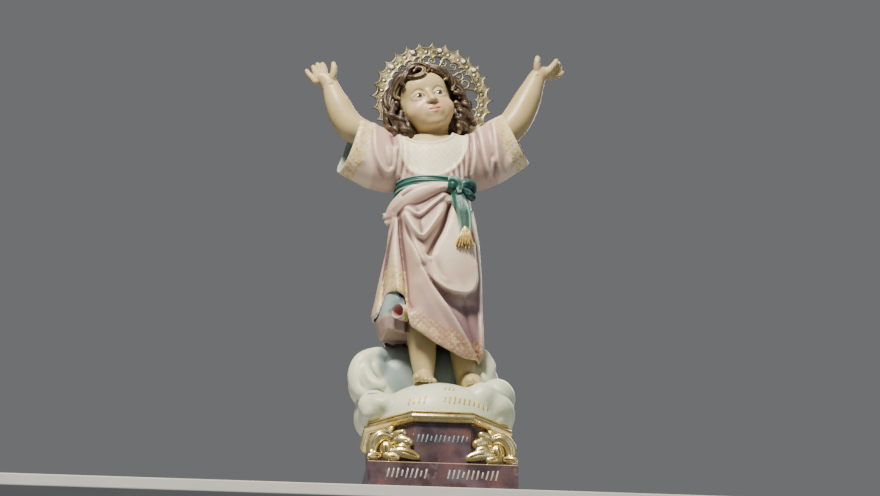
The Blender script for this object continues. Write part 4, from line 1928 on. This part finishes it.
def make_eyes():
    for side, name in ((-1, "right_eye"), (1, "left_eye")):
        drop_selection()
        radius = EYE["radius"] * HEAD_SIZE * MM
        bpy.ops.mesh.primitive_uv_sphere_add(segments=40, ring_count=24, radius=radius)
        eye = bpy.context.object
        eye.name = name
        centre = HEAD_SIZE * np.array((side * EYE["across"], EYE["y"], EYE["z"]))
        placed = np.array(HEAD_TURN.to_matrix()) @ centre + HEAD_MIDDLE
        for point in eye.data.vertices:
            point.co = Vector(point.co) + Vector(placed * MM)
        bpy.ops.object.shade_smooth()
        eye.data.materials.append(eye_finish(name + "_paint", tuple(placed * MM)))
        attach(eye, "root")


def face_marks(piece, points):
    """Where the blush, the lips and the brows are painted, from places in the head's own axes."""
    x, y, z = points.T
    ahead = smooth_step(-y, 20, 34)
    cheek = np.exp(-(((np.abs(x) - 24) / 11) ** 2) - ((z + 20) / 10) ** 2) * ahead
    chin = 0.5 * np.exp(-((x / 10) ** 2) - ((z + 47) / 7) ** 2) * ahead
    note(piece, "blush", np.clip(cheek + chin, 0, 1))
    mouth = (x / 12) ** 2 + ((z + 31.8) / (5.6 * np.sqrt(np.clip(1 - (x / 15) ** 2, 0.05, 1)))) ** 2
    note(piece, "lips", smooth_step(-mouth, -1.25, -0.8) * smooth_step(-y, 49, 52))
    eye = np.abs(x) - EYE["across"]
    arch = 13.5 - 0.045 * (eye - 1) ** 2
    brow = np.exp(-(((z - arch) / 1.7) ** 2)) * smooth_step(-np.abs(eye), -12.5, -8) * ahead
    lash_height = EYE["z"] + EYE["half_height"] * (1 - (eye / (EYE["half_width"] + 1)) ** 2) + 0.8
    lash = np.exp(-(((z - lash_height) / 0.9) ** 2)) * smooth_step(-np.abs(eye), -11.5, -10) * ahead
    note(piece, "brow", np.maximum(brow, lash))


def bare_marks(piece, names):
    """Notes nothing under names that the piece's finish reads."""
    for name in names:
        note(piece, name, np.zeros(len(piece.data.vertices)))


def skirt_marks(piece, points):
    """Where the skirt's lining, border, rose and mauve shades, pale thigh and hem line are painted."""
    x, y, z = points.T
    above = z - hem_height(x, y)
    outside = skirt_skin(x, y, z)
    inner = smooth_step(-outside, 2.2, 3.6) * smooth_step(above, 2, 5)

    # The curled corner of the hem: a rosy scoop with a rim of lining round it.
    turned_back = smooth_step(-z, -388, -380) * smooth_step(y, -25, -10)
    from_mouth = points - CURL_MOUTH
    along = from_mouth @ CURL_WAY
    off_axis = np.linalg.norm(from_mouth - along[:, None] * CURL_WAY, axis=1)
    scoop = smooth_step(-off_axis, -13, -11) * smooth_step(along, -28, -22)
    rim = smooth_step(off_axis, 11, 13) * smooth_step(-off_axis, -22, -19) * smooth_step(along, -12, -6)
    rim = rim * smooth_step(-x, 70, 80) * smooth_step(-z, -408, -404)
    note(piece, "lining", np.maximum(inner * (1 - turned_back), rim) * (1 - scoop))

    left_panel = smooth_step(-x, 58, 64)
    top_edge = smooth_step(-above, -52 - 22 * left_panel, -34 - 22 * left_panel)
    border = top_edge * (1 - inner) * smooth_step(-y, -10, 15)
    on_curl = smooth_step(-x, 68, 73) * smooth_step(-z, -412, -404)
    note(piece, "trim", border * (0.75 + 0.25 * left_panel) * (1 - on_curl))
    note(piece, "rose", np.maximum(1.5 * scoop, 0.5 * border * (1 - left_panel)))

    ridge_x, ridge_z = np.array(LONG_RIDGE, float).T
    pouch_x, pouch_z = np.array(POUCH_EDGE[3:9], float).T
    beyond_ridge = smooth_step(x - np.interp(-z, -ridge_z, ridge_x), 0, 7)
    pouch_height = np.interp(x, pouch_x, pouch_z, left=460, right=432)
    below_pouch = smooth_step(pouch_height - z, 0, 8)
    shaded = beyond_ridge * below_pouch * (1 - smooth_step(x, 78, 88))
    lower = 0.45 * smooth_step(-z, -470, -380) * smooth_step(x, -62, -56)
    note(piece, "mauve", np.maximum(shaded, lower) * smooth_step(-y, 0, 25) * (1 - inner))
    note(piece, "yoke", 0.4 * thigh_form(x, z) * smooth_step(-y, 20, 50))
    note(piece, "piping", np.exp(-((above - 6) / 1.6) ** 2) * (1 - inner) * 0.5)


def top_marks(piece, points):
    """Where the yoke, the neck's two lines, the sleeves' lining and their borders are painted."""
    x, y, z = points.T
    inside_yoke = smooth_step(z - height_on(YOKE_EDGE, x), 0, 3) * smooth_step(-y, 5, 20)
    note(piece, "yoke", inside_yoke)
    bare_marks(piece, ("rose", "mauve"))
    near, _ = path_distance(x, z, NECKLINE)
    lines = np.exp(-((near / 1.6) ** 2)) + np.exp(-(((near - 7) / 1.4) ** 2))
    note(piece, "piping", lines * smooth_step(-y, 0, 15))
    lining = np.zeros(len(x))
    trim = np.zeros(len(x))
    for rings in SLEEVES.values():
        beyond = beyond_ring(rings[-1], x, y, z)
        on_side = smooth_step(np.sign(rings[-1][0]) * x, 60, 80)
        off = sleeve_rule(rings, **SLEEVE_HOLLOW)(x, y, z)
        covered = smooth_step(-sleeve_rule(rings)(x, y, z), 0.5, 1.5)
        inner = smooth_step(-off, -1.5, -0.8) * on_side * np.maximum(covered, smooth_step(beyond, -4, 0))
        lining = np.maximum(lining, inner)
        trim = np.maximum(trim, smooth_step(beyond, -34, -26) * on_side * (1 - inner))
    note(piece, "lining", lining)
    note(piece, "trim", np.maximum(trim, 0.35 * inside_yoke))


SKIN_MARKS = ("blush", "lips", "brow")

# The strokes on the cloud's front: a sagging row that leaves a gap, and three short ones above it.
CLOUD_ROW = {
    "from_x": -62, "apart": 9.6, "count": 17, "gap": (-28, 2), "height": 183, "sag": 0.0006, "middle": 10,
}
CLOUD_SHORT_ROW = [(8, 211, 0.5), (16, 211, 0.6), (24, 210, 0.5)]


def make_clothes(cloth):
    """The skirt with its inside and the bodice with its sleeves, which share one paint."""
    skirt_clay, whole = make_skirt()
    add_blouse(skirt_clay)
    add_blouse(whole)
    skirt, points = from_clay("tunic_skirt", skirt_clay, cloth, whole=whole)
    skirt_marks(skirt, points)
    inside, points = from_clay("skirt_inside", make_skirt_inside(), cloth)
    bare_marks(inside, ("trim", "rose", "yoke", "piping"))
    note(inside, "lining", smooth_step(points[:, 2], 380, 388))
    note(inside, "mauve", 0.7 * smooth_step(-points[:, 2], -386, -376))
    top, points = from_clay("tunic_top", make_top(), cloth)
    top_marks(top, points)
    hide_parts("figure_on_cloud")


def make_child(skin):
    """The head with its hair, the chest, the arms and the legs."""
    head, points = from_clay("head", make_head(), skin, HEAD_TURN)
    face_marks(head, points)
    from_clay("hair", make_hair(), hair_finish(), HEAD_TURN)
    chest, _ = from_clay("chest", make_chest(), skin)
    bare_marks(chest, SKIN_MARKS)
    for which in ("right", "left"):
        arm, _ = from_clay(which + "_arm", make_arm(which), skin)
        leg, _ = from_clay(which + "_leg", make_leg(which), skin)
        bare_marks(arm, SKIN_MARKS)
        bare_marks(leg, SKIN_MARKS)


def cloud_places():
    """Where the strokes on the cloud stand: x, z and how tall each is."""
    chance = random.Random(9)
    gap_from, gap_to = CLOUD_ROW["gap"]
    places = []
    for i in range(CLOUD_ROW["count"]):
        x = CLOUD_ROW["from_x"] + CLOUD_ROW["apart"] * i
        if not gap_from < x < gap_to:
            z = CLOUD_ROW["height"] - CLOUD_ROW["sag"] * (x - CLOUD_ROW["middle"]) ** 2
            places.append((x, z, chance.uniform(0.6, 1.0)))
    return places + CLOUD_SHORT_ROW


def make_figure():
    """The child, the clothes and the cloud, which are one casting."""
    cloth = cloth_finish()
    skin = skin_finish()
    make_clothes(cloth)
    make_child(skin)
    from_clay("sash", make_sash(), sash_finish())
    from_clay("tassel", make_tassel(), gold_paint_finish())
    cloud, points = from_clay("cloud", make_cloud(), cloud_finish())
    x, y, z = points.T
    behind_legs = smooth_step(-((x + 30) / 88) ** 2 - ((z - 300) / 90) ** 2, -1.1, -0.8)
    note(cloud, "behind_legs", behind_legs * smooth_step(y, -44, -28) * smooth_step(-y, -60, -30))
    make_eyes()
    gold = stroke_finish("gold_strokes", (0.52, 0.34, 0.05), (0.78, 0.58, 0.16), 0.4)
    add_strokes("cloud_strokes", strokes_on(cloud, cloud_places()), gold, (3.4, 18, 0.8))


set_camera()
set_light()
make_floor()
make_figure()
marble = marble_finish()
for name in ("base_block", "plinth_drum"):
    frame["nodes"][name].data.materials.clear()
    frame["nodes"][name].data.materials.append(marble)
gilt = gilt_finish()
make_moulding(gilt)
make_spray(gilt)
halo, _ = from_clay("pierced_halo", make_halo(), brass_finish())
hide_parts("halo")
make_stones()
silver = stroke_finish("silver_strokes", (0.42, 0.42, 0.38), (0.66, 0.66, 0.60), 0.5)
block_places = stroke_row(-105, -33, 9, 26, -144, 3) + stroke_row(11, 103, 11, 26, -144, 4)
add_strokes("block_strokes", block_places, silver, (3.0, 21, 0.7))
blue = stroke_finish("blue_strokes", (0.12, 0.22, 0.30), (0.28, 0.42, 0.52), 0.4)
drum_places = stroke_row(-47, 47, 12, 101, -132, 5)
add_strokes("drum_strokes", drum_places, blue, (2.6, 17, 0.7))
